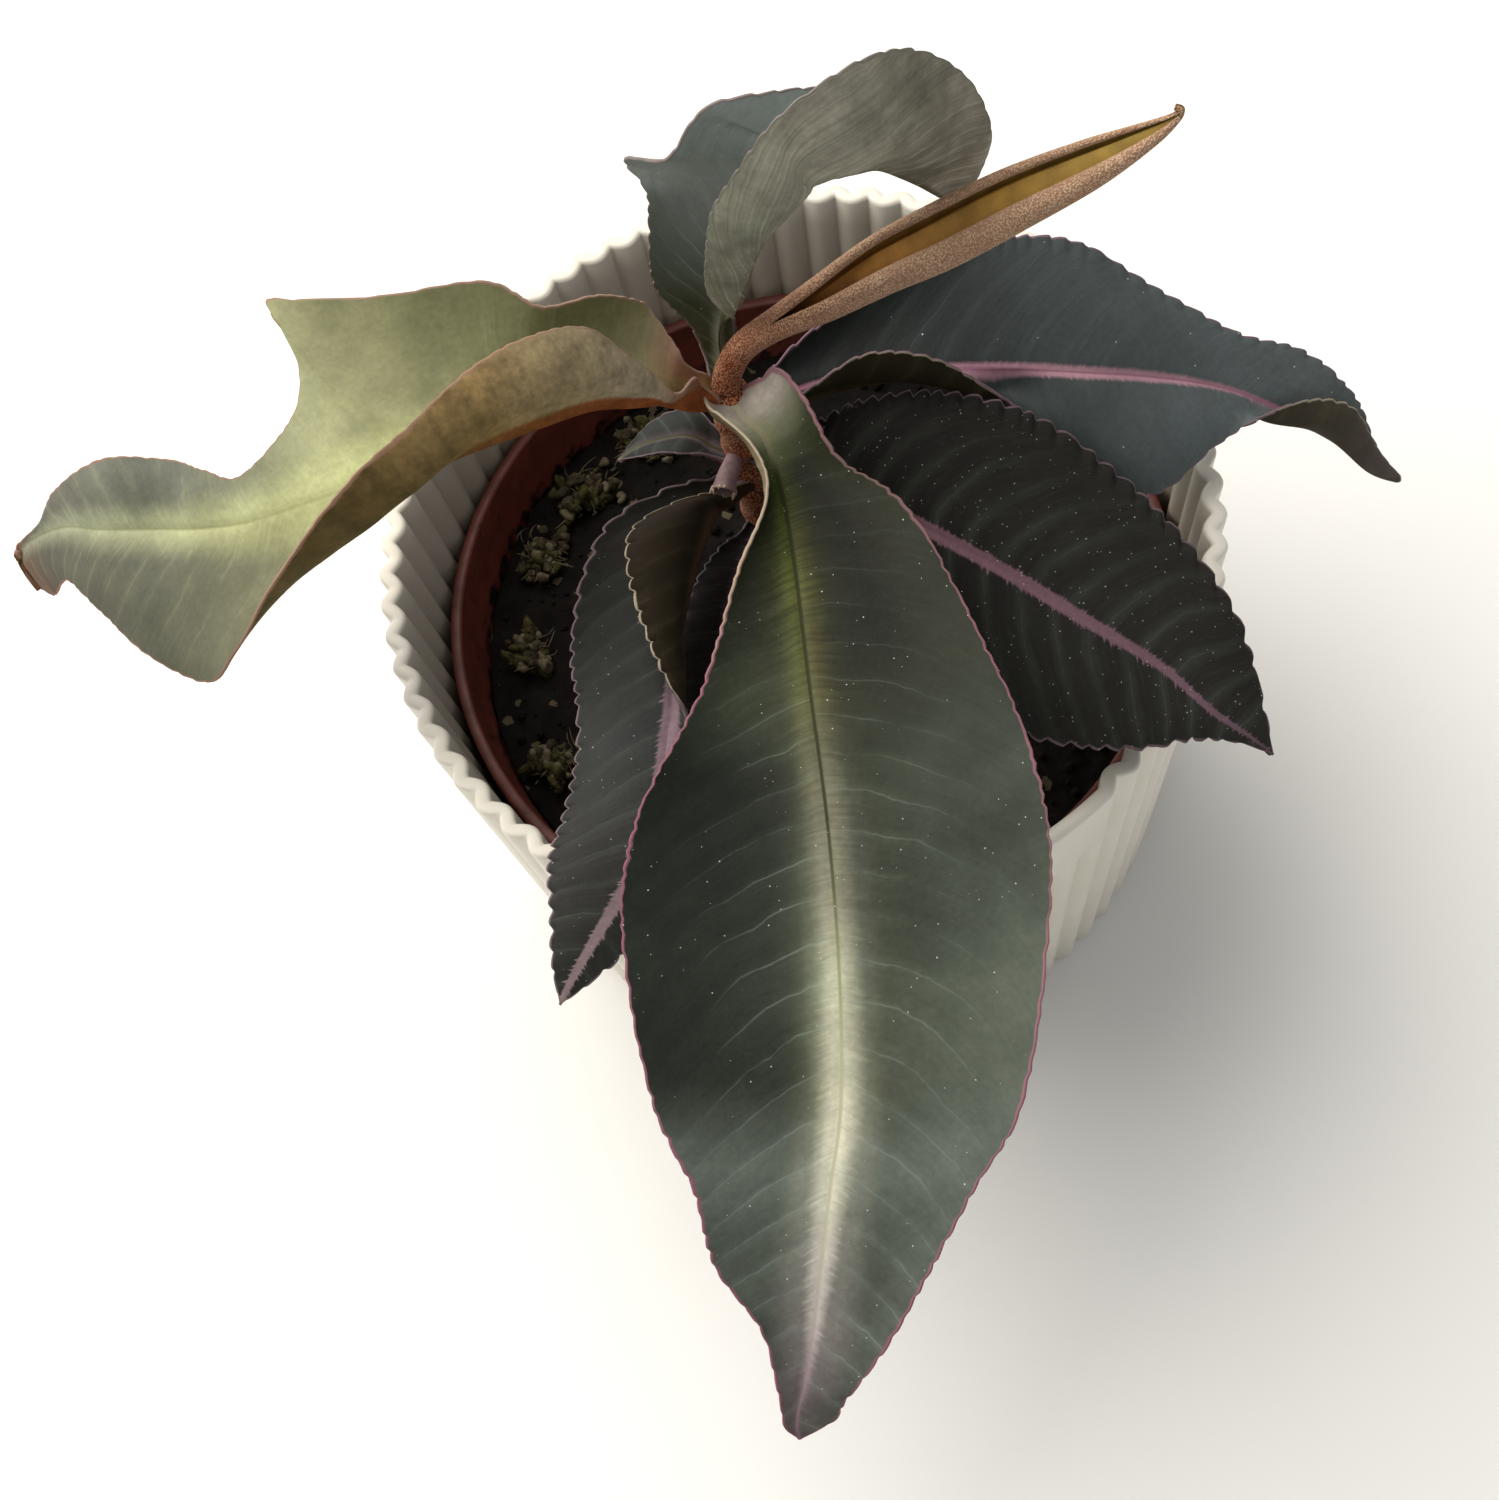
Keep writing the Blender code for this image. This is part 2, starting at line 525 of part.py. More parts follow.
def make_stub_and_buds():
    mauve = material("dried_petiole", (0.22, 0.14, 0.14, 1.0), 0.7)
    points = [Vector(point) for point, _ in PETIOLE_STUB]
    radii = [radius for _, radius in PETIOLE_STUB]
    add_object("petiole_stub", tube_along(points, radii, radii, STUB_STEPS), mauve)
    rose = material("bud_scale", (0.20, 0.10, 0.12, 1.0), 0.45)
    for index, (x, y, z, radius) in enumerate(BUDS):
        bud = bmesh.new()
        bmesh.ops.create_icosphere(bud, subdivisions=2, radius=radius * MM)
        bmesh.ops.scale(bud, verts=bud.verts, vec=BUD_SHAPE)
        bmesh.ops.translate(bud, verts=bud.verts, vec=Vector((x, y, z)) * MM)
        add_object(f"axil_bud_{index + 1}", bud, rose)


def main():
    for old in list(bpy.data.objects):
        bpy.data.objects.remove(old, do_unlink=True)
    make_outer_pot()
    make_nursery_pot()
    make_soil()
    make_moss_clumps()
    make_stem()
    for name, design in LEAVES.items():
        make_leaf(name, design)
    make_rolled_leaf()
    make_stub_and_buds()


main()
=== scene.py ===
import math
from functools import partial

import bmesh
import bpy
from mathutils import Matrix, Quaternion, Vector, noise


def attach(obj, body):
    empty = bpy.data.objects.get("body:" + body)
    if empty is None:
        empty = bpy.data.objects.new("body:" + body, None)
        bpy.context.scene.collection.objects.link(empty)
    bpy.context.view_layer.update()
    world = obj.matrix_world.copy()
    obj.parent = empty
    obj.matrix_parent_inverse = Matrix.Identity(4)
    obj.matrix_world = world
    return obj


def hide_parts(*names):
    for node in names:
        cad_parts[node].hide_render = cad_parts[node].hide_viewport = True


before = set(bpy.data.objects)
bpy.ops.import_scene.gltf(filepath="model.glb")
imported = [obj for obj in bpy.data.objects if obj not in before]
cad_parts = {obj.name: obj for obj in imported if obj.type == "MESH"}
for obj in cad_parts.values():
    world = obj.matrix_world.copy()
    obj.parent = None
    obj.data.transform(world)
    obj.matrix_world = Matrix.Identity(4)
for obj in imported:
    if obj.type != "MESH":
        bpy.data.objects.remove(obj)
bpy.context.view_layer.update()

mm = 0.001


# sRGB hex to the linear colour that the shaders take
def hexColour(text):
    channels = [int(text[i:i + 2], 16) / 255 for i in (1, 3, 5)]
    linear = [c / 12.92 if c <= 0.04045 else ((c + 0.055) / 1.055) ** 2.4 for c in channels]
    return (*linear, 1.0)


# adds one node; an input is a number, a hex colour, a socket, or a node, whose live output is used
def addNode(tree, kind, inputs=None, **settings):
    made = tree.nodes.new("ShaderNode" + kind)
    for name, value in settings.items():
        setattr(made, name, value)
    for key, value in (inputs or {}).items():
        if isinstance(value, bpy.types.Node):
            value = next(socket for socket in value.outputs if socket.enabled)
        if isinstance(value, bpy.types.NodeSocket):
            tree.links.new(value, made.inputs[key])
        else:
            made.inputs[key].default_value = hexColour(value) if isinstance(value, str) else value
    return made


# an empty material and what adds its nodes
def newMaterial(name):
    made = bpy.data.materials.new(name)
    made.use_nodes = True
    made.node_tree.nodes.clear()
    return made, partial(addNode, made.node_tree)


# puts stops of (share of the way, colour or brightness) on a colour ramp, and gives its colour; where
# there is one colour alone, it holds all the way
def fillRamp(ramp, stops):
    stops = [(0, stops), (1, stops)] if isinstance(stops, str) else stops
    held = ramp.color_ramp.elements
    for index, (position, colour) in enumerate(stops):
        stop = held[index] if index < 2 else held.new(position)
        stop.position = position
        stop.color = hexColour(colour) if isinstance(colour, str) else (colour, colour, colour, 1.0)
    return ramp.outputs["Color"]


# a matt natural skin that wanders between two colours, with a relief of the same size
def mottledMaterial(name, light, dark, look):
    made, node = newMaterial(name)
    inside = node("TexCoord").outputs["Object"]
    mottle = node("TexNoise", {"Vector": inside, "Scale": 1000 / look["size"], "Detail": look["detail"],
                               "Roughness": look["crumble"]})
    share = node("MapRange", {"Value": mottle, "From Min": 0.35, "From Max": 0.65})
    body = node("Mix", {0: share, 6: dark, 7: light}, data_type="RGBA")
    skin = node("Bump", {"Height": mottle, "Distance": look["depth"] * mm, "Strength": look["relief"]})
    matt = node("BsdfPrincipled", {"Base Color": body, "Roughness": look["rough"], "Normal": skin,
                                   "Specular IOR Level": look["specular"]})
    node("OutputMaterial", {"Surface": matt})
    return made


# a bmesh becomes a named piece with its place in the mesh, on the part's one body
def addPiece(name, mesh, materials, replaced):
    data = bpy.data.meshes.new(name)
    mesh.to_mesh(data)
    mesh.free()
    for material in materials:
        data.materials.append(material)
    data.shade_smooth()
    piece = bpy.data.objects.new(name, data)
    bpy.context.scene.collection.objects.link(piece)
    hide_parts(*replaced)
    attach(piece, "root")
    return piece


# gives a sheet its body below, as deep as its "depth" weights say, with the second material underneath
def thicken(piece, deepest):
    piece.vertex_groups.new(name="depth")
    wall = piece.modifiers.new("thickness", "SOLIDIFY")
    wall.thickness, wall.offset = deepest * mm, -1.0
    wall.vertex_group = "depth"
    wall.material_offset = 1


# Catmull-Rom curve through evenly counted points, t from 0 to 1
def curveThrough(points, t):
    spans = len(points) - 1
    index = min(int(t * spans), spans - 1)
    local = t * spans - index
    before = points[max(index - 1, 0)]
    start, end = points[index], points[index + 1]
    after = points[min(index + 2, spans)]
    slopeIn = (end - before) * 0.5
    slopeOut = (after - start) * 0.5
    square, cube = local * local, local ** 3
    return (start * (2 * cube - 3 * square + 1) + slopeIn * (cube - 2 * square + local)
            + end * (3 * square - 2 * cube) + slopeOut * (cube - square))


def smoothStep(low, high, value):
    share = max(0.0, min(1.0, (value - low) / (high - low)))
    return share * share * (3 - 2 * share)


# Polypropylene cache pot, injection moulded: an opaque creamy white with a soft sheen. The mould left
# it smooth, so what shows is the sheen along the ribs, faint flow, and painted shade on the inner wall.
outerPot = {"height": 84.0, "topRadius": 67.5, "footRadius": 60.5, "wall": 2.5, "floor": 3.0, "ribs": 72,
            "ribSteps": 12, "ribDepth": 1.6, "innerRound": 0.06, "panelFrom": -100.0, "panelTo": -55.0,
            "panelFoot": 64.0, "panelFade": 2.2, "panelRows": 6, "rimRound": 0.7, "footRound": 1.2,
            "rows": (8, 16, 24, 32, 40, 48, 56), "rimRows": (72, 78), "innerRows": (56, 40, 24, 12),
            "body": "#e9e4d8", "flow": "#e2dccd", "flowSize": 22.2, "gritSize": 0.625, "gritDepth": 0.02,
            "rough": (0.34, 0.46), "innerShade": "#8c7f68", "innerShadeFoot": 55.0, "innerShadeShow": 0.7}


def potRadius(angle, height, inside):
    crest = outerPot["footRadius"]
    crest += (outerPot["topRadius"] - outerPot["footRadius"]) * height / outerPot["height"]
    degrees = (math.degrees(angle) + 180) % 360 - 180
    depth = outerPot["ribDepth"]
    if outerPot["panelFrom"] <= degrees <= outerPot["panelTo"]:
        depth *= 1 - smoothStep(outerPot["panelFoot"], outerPot["panelFoot"] + outerPot["panelFade"], height)
    turn = angle * outerPot["ribs"] / 2
    if inside:
        rounding = outerPot["innerRound"] * (1 - math.cos(2 * turn))
        return crest - outerPot["wall"] - depth * (abs(math.sin(turn)) - rounding)
    return crest - depth * (1 - abs(math.cos(turn)))


def makeOuterPot():
    top, floor = outerPot["height"], outerPot["floor"]
    curve, foot = outerPot["rimRound"], outerPot["footRound"]
    fade = [outerPot["panelFoot"] + outerPot["panelFade"] * step / outerPot["panelRows"]
            for step in range(outerPot["panelRows"] + 1)]
    # rows of (height, inset from the wall, inside)
    rows = [(0.0, foot * 1.6, False), (0.0, foot, False), (foot * 0.3, foot * 0.3, False), (foot, 0.0, False)]
    rows += [(height, 0.0, False) for height in (*outerPot["rows"], *fade, *outerPot["rimRows"], top - curve)]
    rows += [(top - curve * 0.3, curve * 0.3, False), (top, curve, False), (top, -curve, True),
             (top - curve * 0.3, -curve * 0.3, True), (top - curve, 0.0, True)]
    rows += [(height, 0.0, True) for height in (*reversed(outerPot["rimRows"]), *reversed(fade),
                                                *outerPot["innerRows"], floor + 2)]
    rows += [(floor + 0.5, 0.6, True), (floor, 2.5, True), (floor, 20.0, True)]
    pot = bmesh.new()
    inner = pot.verts.layers.float.new("inner")
    steps = outerPot["ribs"] * outerPot["ribSteps"]
    ring = bmesh.ops.create_circle(pot, segments=steps, radius=1.0, cap_ends=False)["verts"]
    edges = pot.edges[:]
    for row, (height, inset, inside) in enumerate(rows):
        if row:
            grown = bmesh.ops.extrude_edge_only(pot, edges=edges)["geom"]
            ring = [item for item in grown if isinstance(item, bmesh.types.BMVert)]
            edges = [item for item in grown if isinstance(item, bmesh.types.BMEdge)]
        for vert in ring:
            angle = math.atan2(vert.co.y, vert.co.x)
            radius = potRadius(angle, height, inside) - inset
            vert[inner] = float(inside and height < top - curve)
            vert.co = (math.cos(angle) * radius * mm, math.sin(angle) * radius * mm, height * mm)
    bmesh.ops.holes_fill(pot, edges=pot.edges[:], sides=0)
    bmesh.ops.recalc_face_normals(pot, faces=pot.faces)

    made, node = newMaterial("ivory_polypropylene")
    inside = node("TexCoord").outputs["Object"]
    flow = node("TexNoise", {"Vector": inside, "Scale": 1000 / outerPot["flowSize"], "Detail": 3.0})
    grit = node("TexNoise", {"Vector": inside, "Scale": 1000 / outerPot["gritSize"], "Detail": 2.0})
    tint = node("MapRange", {"Value": flow, "From Min": 0.35, "From Max": 0.65})
    body = node("Mix", {0: tint, 6: outerPot["body"], 7: outerPot["flow"]}, data_type="RGBA")
    # painted shade on the inner wall, for the shadow inside the pot, deeper further down
    height = node("SeparateXYZ", {0: inside}).outputs[2]
    innerShading = node("MapRange", {"Value": height, "From Min": top * mm, "From Max": outerPot["innerShadeFoot"] * mm,
                              "To Max": outerPot["innerShadeShow"]})
    innerShading = node("Math", {0: innerShading, 1: node("Attribute", attribute_name="inner").outputs["Fac"]},
                 operation="MULTIPLY")
    body = node("Mix", {0: innerShading, 6: body, 7: outerPot["innerShade"]}, data_type="RGBA")
    rough = node("MapRange", {"Value": grit, "From Min": 0.3, "From Max": 0.7,
                              "To Min": outerPot["rough"][0], "To Max": outerPot["rough"][1]})
    skin = node("Bump", {"Height": grit, "Distance": outerPot["gritDepth"] * mm, "Strength": 0.5})
    plastic = node("BsdfPrincipled", {"Base Color": body, "Roughness": rough, "Normal": skin, "IOR": 1.49})
    node("OutputMaterial", {"Surface": plastic})
    addPiece("outer_pot_shell", pot, [made], ["outer_pot"])
    print("outer pot made")


# Polypropylene nursery pot, thin and injection moulded, its terracotta red gone dull
nurseryPot = {"rimTop": 63.0, "rimRadius": 60.6, "rimDepth": 9.0, "rimWidth": 2.0, "neckRadius": 58.8,
              "footRadius": 53.0, "wall": 1.4, "floor": 1.6, "seat": 3.3, "round": 0.5, "steps": 180,
              "drains": 6, "drainRadius": 4.0, "drainCircle": 34.0, "colour": "#70342a", "deep": "#4c1f18",
              "scuffSize": 8.33, "gritSize": 0.667, "gritDepth": 0.04, "rough": (0.42, 0.6),
              "lowShadeTop": 55.0, "lowShadeFoot": 49.0, "lowShadePatchSize": 2.63}


# turns a closed outline of (radius, height) about Z into a solid
def turned(profile, steps):
    made = bmesh.new()
    corners = [made.verts.new((radius * mm, 0.0, height * mm)) for radius, height in profile]
    for first, second in zip(corners, corners[1:]):
        made.edges.new((first, second))
    bmesh.ops.spin(made, geom=made.verts[:] + made.edges[:], cent=(0, 0, 0), axis=(0, 0, 1), angle=math.tau,
                   steps=steps, use_merge=True)
    bmesh.ops.remove_doubles(made, verts=made.verts[:], dist=0.00001)
    bmesh.ops.recalc_face_normals(made, faces=made.faces)
    return made


def makeNurseryPot():
    seat, top, curve = nurseryPot["seat"], nurseryPot["rimTop"], nurseryPot["round"]
    outer, neck, foot, wall = (nurseryPot[key] for key in ("rimRadius", "neckRadius", "footRadius", "wall"))
    band, inner = top - nurseryPot["rimDepth"], outer - nurseryPot["rimWidth"]
    # from the middle of its floor out, up the wall, over the rim band and down inside, with small roundings
    profile = [(0, seat), (foot - 3, seat), (foot - 0.6, seat + 0.2), (foot, seat + 0.9), (neck, band - 0.3),
               (neck + 0.4, band), (outer - curve, band), (outer, band + 0.4), (outer, top - curve),
               (outer - 0.15, top - 0.15), (outer - curve, top), (inner + curve, top),
               (inner + 0.15, top - 0.15), (inner, top - curve), (inner, band + 2.5), (neck - wall, band),
               (foot - wall, seat + 3), (foot - wall - 1.2, seat + nurseryPot["floor"]),
               (0, seat + nurseryPot["floor"])]
    pot = turned(profile, nurseryPot["steps"])

    made, node = newMaterial("red_polypropylene")
    inside = node("TexCoord").outputs["Object"]
    scuffs = node("TexNoise", {"Vector": inside, "Scale": 1000 / nurseryPot["scuffSize"],
                               "Detail": 5.0, "Roughness": 0.65})
    grit = node("TexNoise", {"Vector": inside, "Scale": 1000 / nurseryPot["gritSize"], "Detail": 2.0})
    dull = node("MapRange", {"Value": scuffs, "From Min": 0.35, "From Max": 0.7})
    body = node("Mix", {0: dull, 6: nurseryPot["colour"], 7: nurseryPot["deep"]}, data_type="RGBA")
    # painted shade just above the soil, in patches of the peat colour
    height = node("SeparateXYZ", {0: inside}).outputs[2]
    low = node("MapRange", {"Value": height, "From Min": nurseryPot["lowShadeTop"] * mm,
                            "From Max": nurseryPot["lowShadeFoot"] * mm})
    shadePatches = node("TexNoise", {"Vector": inside, "Scale": 1000 / nurseryPot["lowShadePatchSize"], "Detail": 3.0})
    lowShade = node("Math", {0: low, 1: 0.3, 2: shadePatches}, operation="MULTIPLY_ADD")
    lowShade = node("MapRange", {"Value": lowShade, "From Min": 0.66, "From Max": 0.8})
    body = node("Mix", {0: lowShade, 6: body, 7: soilBed["peat"]}, data_type="RGBA")
    rough = node("MapRange", {"Value": scuffs, "From Min": 0.3, "From Max": 0.7,
                              "To Min": nurseryPot["rough"][0], "To Max": nurseryPot["rough"][1]})
    skin = node("Bump", {"Height": grit, "Distance": nurseryPot["gritDepth"] * mm, "Strength": 0.6})
    plastic = node("BsdfPrincipled", {"Base Color": body, "Roughness": rough, "Normal": skin, "IOR": 1.49})
    node("OutputMaterial", {"Surface": plastic})

    # the drain holes are cut right through the floor
    drains, bore = bmesh.new(), nurseryPot["drainRadius"] * mm
    for index in range(nurseryPot["drains"]):
        angle = math.tau * index / nurseryPot["drains"]
        hole = bmesh.ops.create_cone(drains, cap_ends=True, segments=24, radius1=bore, radius2=bore,
                                     depth=10 * mm)["verts"]
        middle = Vector((math.cos(angle), math.sin(angle), 0)) * nurseryPot["drainCircle"]
        middle += Vector((0, 0, seat))
        bmesh.ops.translate(drains, verts=hole, vec=middle * mm)
    cutterData = bpy.data.meshes.new("drain_cutter")
    drains.to_mesh(cutterData)
    drains.free()
    cutter = bpy.data.objects.new("drain_cutter", cutterData)
    bpy.context.scene.collection.objects.link(cutter)
    piece = addPiece("nursery_pot_shell", pot, [made], ["nursery_pot"])
    cut = piece.modifiers.new("drains", "BOOLEAN")
    cut.operation, cut.solver, cut.object = "DIFFERENCE", "EXACT", cutter
    bpy.context.view_layer.update()
    finished = bpy.data.meshes.new_from_object(piece.evaluated_get(bpy.context.evaluated_depsgraph_get()))
    piece.modifiers.clear()
    piece.data = finished
    bpy.data.objects.remove(cutter, do_unlink=True)
    print("nursery pot made")


# Peat compost: nearly black when damp, crumbly, with pale fibres and grains of perlite
soilBed = {"top": 50.0, "crown": 1.3, "foot": 5.2, "footRadius": 51.3, "topRadius": 56.6, "steps": 300,
           "rings": 84, "edgeFall": 8.0, "lump": 1.1, "lumpScale": 0.16, "grain": 0.35, "grainScale": 0.75,
           "crumbs": 900, "crumbSize": (0.25, 0.9), "crumbStray": 1.5, "crumbDent": 0.5,
           "peat": "#0b0806", "crumb": "#19120c", "fibre": "#564c3a", "clodSize": 3.85, "clodDepth": 0.6,
           "fibreSize": 1.43, "fibreShare": 0.025}


def soilHeight(x, y):
    flat = Vector((x, y, 0))
    lumps = noise.fractal(flat * soilBed["lumpScale"], 0.9, 2.2, 4)
    grains = noise.noise(flat * soilBed["grainScale"] + Vector((9, 4, 2)))
    edge = smoothStep(soilBed["topRadius"], soilBed["topRadius"] - soilBed["edgeFall"], flat.length)
    return (soilBed["top"] - 0.5 + soilBed["crown"] * edge + soilBed["lump"] * lumps
            + soilBed["grain"] * grains)


def makeSoil():
    rings, radius, top, foot = soilBed["rings"], soilBed["topRadius"] - 0.1, soilBed["top"], soilBed["foot"]
    profile = [(0, foot), (soilBed["footRadius"], foot), (radius, top - 2)]
    profile += [(radius * (1 - ring / rings), top) for ring in range(rings)] + [(0, top)]
    bed = turned(profile, soilBed["steps"])
    for vert in bed.verts:
        if vert.co.z > (top - 0.5) * mm:
            vert.co.z = soilHeight(vert.co.x / mm, vert.co.y / mm) * mm
    # loose crumbs lie on it, spread like seeds on a sunflower and few of them large
    least, growth = soilBed["crumbSize"]
    for index in range(soilBed["crumbs"]):
        pick = noise.random_vector()
        angle = math.tau * (index * 0.618 % 1.0)
        out = math.sqrt((index + 0.5) / soilBed["crumbs"]) * (radius - 2)
        x = math.cos(angle) * out + pick.x * soilBed["crumbStray"]
        y = math.sin(angle) * out + pick.y * soilBed["crumbStray"]
        size = least + growth * abs(pick.z) ** 4
        lump = bmesh.ops.create_icosphere(bed, subdivisions=1, radius=size * mm)["verts"]
        for vert in lump:
            vert.co += vert.co * soilBed["crumbDent"] * noise.noise(vert.co * 900 + Vector((index, 0, 0)))
        bmesh.ops.translate(bed, verts=lump, vec=Vector((x, y, soilHeight(x, y) + size * 0.3)) * mm)

    made, node = newMaterial("damp_peat")
    inside = node("TexCoord").outputs["Object"]
    clods = node("TexNoise", {"Vector": inside, "Scale": 1000 / soilBed["clodSize"], "Detail": 6.0,
                              "Roughness": 0.7})
    pale = node("MapRange", {"Value": clods, "From Min": 0.45, "From Max": 0.75})
    body = node("Mix", {0: pale, 6: soilBed["peat"], 7: soilBed["crumb"]}, data_type="RGBA")
    cells = node("TexVoronoi", {"Vector": inside, "Scale": 1000 / soilBed["fibreSize"]})
    chosen = node("SeparateXYZ", {0: cells.outputs["Color"]}).outputs[0]
    fibres = node("Math", {0: chosen, 1: 1 - soilBed["fibreShare"]}, operation="GREATER_THAN")
    body = node("Mix", {0: fibres, 6: body, 7: soilBed["fibre"]}, data_type="RGBA")
    skin = node("Bump", {"Height": clods, "Distance": soilBed["clodDepth"] * mm, "Strength": 1.0})
    earth = node("BsdfPrincipled", {"Base Color": body, "Roughness": 0.95, "Normal": skin,
                                    "Specular IOR Level": 0.25})
    node("OutputMaterial", {"Surface": earth})
    addPiece("soil_bed", bed, [made], ["soil"])
    print("soil made")


# Moss and perlite: small matt lumps in grey green and beige, with dry fibres sticking out.
# Each clump is (x, y, half length, half width, height, turn in degrees).
mossClumps = {
    "moss_clump_1": (-35, 34, 7.0, 5.5, 3.2, 20), "moss_clump_2": (-22, 42, 7.5, 5.0, 3.0, 150),
    "moss_clump_3": (-44, 23, 6.0, 5.0, 2.6, 60), "moss_clump_4": (-49, 4, 5.0, 3.6, 2.2, 100),
    "moss_clump_5": (-47, -18, 5.5, 4.0, 2.4, 130),
}
mossLook = {"foot": 51.6, "fill": 0.85, "lumps": 84, "lumpSize": (0.35, 0.9), "dent": 0.9,
            "stretch": (1.4, 0.4), "fibres": 30, "fibreFoot": 52.2, "fibreFill": 0.8,
            "fibreLean": (2.6, 1.6), "fibreCurl": 1.5, "fibreRadii": (0.16, 0.13, 0.1, 0.03),
            "moss": "#54502a", "dry": "#564c38", "perlite": "#776e5a", "shade": "#17140c",
            "size": 2.0, "detail": 5.0, "crumble": 0.7, "depth": 0.4, "relief": 1.0, "rough": 0.95,
            "specular": 0.2}


def makeMoss():
    finishes = [mottledMaterial(name, mossLook[light], mossLook[dark], mossLook) for name, light, dark in (
        ("dry_moss", "moss", "shade"), ("bark_crumb", "dry", "shade"), ("perlite_grain", "perlite", "dry"))]
    for name, (x, y, length, width, height, turn) in mossClumps.items():
        clump = bmesh.new()
        spin, (least, growth) = math.radians(turn), mossLook["lumpSize"]
        # every third lump is a drawn-out sprig of moss and every third a smaller grain of perlite
        for index in range(mossLook["lumps"]):
            pick = noise.random_vector() * abs(noise.random_vector().x) ** 0.4
            across = pick.x * length * mossLook["fill"], pick.y * width * mossLook["fill"]
            up = mossLook["foot"] + abs(pick.z) * height * 1.1 * (1 - 0.5 * (pick.x ** 2 + pick.y ** 2))
            size = (least + growth * abs(noise.random_vector().z) ** 2) * (0.8 if index % 3 == 2 else 1.0)
            sprig = noise.random_unit_vector()
            lump = bmesh.ops.create_icosphere(clump, subdivisions=2, radius=size * mm)["verts"]
            seed = Vector((index * 3.1, turn, 0))
            for vert in lump:
                vert.co *= 1 + mossLook["dent"] * noise.noise(vert.co * 900 + seed)
                vert.co += sprig * vert.co.dot(sprig) * mossLook["stretch"][0 if index % 3 == 0 else 1]
            middle = Vector((x + across[0] * math.cos(spin) - across[1] * math.sin(spin),
                             y + across[0] * math.sin(spin) + across[1] * math.cos(spin), up))
            bmesh.ops.translate(clump, verts=lump, vec=middle * mm)
            for face in {face for vert in lump for face in vert.link_faces}:
                face.material_index = index % 3
        for index in range(mossLook["fibres"]):
            pick, lean = noise.random_vector(), noise.random_vector()
            start = Vector((x + pick.x * length * mossLook["fibreFill"],
                            y + pick.y * width * mossLook["fibreFill"], mossLook["fibreFoot"]))
            out, rise = mossLook["fibreLean"]
            reach = Vector((lean.x * out, lean.y * out, rise))
            curl = Vector((pick.y, pick.x, 0)) * mossLook["fibreCurl"]
            points = [start + reach * t + curl * t * t for t in (0, 0.35, 0.7, 1.0)]
            for face in tubeAlong(clump, points, mossLook["fibreRadii"], 5):
                face.material_index = 2
        addPiece(name + "_tuft", clump, finishes, [name])
    print("moss made")


# lofts a closed tube with these radii through the points, into an open bmesh; returns its faces
def tubeAlong(mesh, points, radii, steps):
    before = set(mesh.faces)
    ring = bmesh.ops.create_circle(mesh, segments=steps, radius=1.0, cap_ends=False)["verts"]
    edges = list({edge for vert in ring for edge in vert.link_edges})
    side, placed = None, Matrix.Identity(4)
    for row, (centre, radius) in enumerate(zip(points, radii)):
        ahead = (points[min(row + 1, len(points) - 1)] - points[max(row - 1, 0)]).normalized()
        side = (side or Vector((0.31, 0.17, 0.93)).cross(ahead)).normalized()
        side = (side - ahead * side.dot(ahead)).normalized()
        if row:
            grown = bmesh.ops.extrude_edge_only(mesh, edges=edges)["geom"]
            ring = [item for item in grown if isinstance(item, bmesh.types.BMVert)]
            edges = [item for item in grown if isinstance(item, bmesh.types.BMEdge)]
        # each ring moves on from where the last one lies, turned to face along the route
        turn = Matrix((side, ahead.cross(side), ahead)).transposed()
        place = Matrix.LocRotScale(centre * mm, turn, Vector.Fill(3, radius * mm))
        bmesh.ops.transform(mesh, matrix=place @ placed.inverted(), verts=ring)
        placed = place
    made = set(mesh.faces) - before
    openEdges = list({edge for face in made for edge in face.edges if edge.is_boundary})
    made |= set(bmesh.ops.holes_fill(mesh, edges=openEdges, sides=0)["faces"])
    bmesh.ops.recalc_face_normals(mesh, faces=list(made))
    return made


# Young stem and petioles are covered in short rust-red down over green-brown skin: matt, speckled
# dark where the hairs part, and paler where their tips catch the light. Down is a third of a millimetre.
stemFoot, stemTop = (-3.5, 11.5, 50.5), (-6.5, 12.5, 107.5)
downLook = {"tip": "#d8946a", "root": "#6b2f1a", "skin": "#a45a3a", "pitch": 0.42, "litTipSize": 3.85,
            "hairDepth": 0.3, "rough": 0.85, "specular": 0.25, "sheen": 0.5, "sheenRough": 0.4,
            "sheenTint": "#f0c8a8"}
stemLook = {"footRadius": 3.6, "topRadius": 2.9, "rows": 120, "steps": 48, "jointPitch": 6.5,
            "jointSwell": 0.35, "endRounding": (0.55, 0.85)}


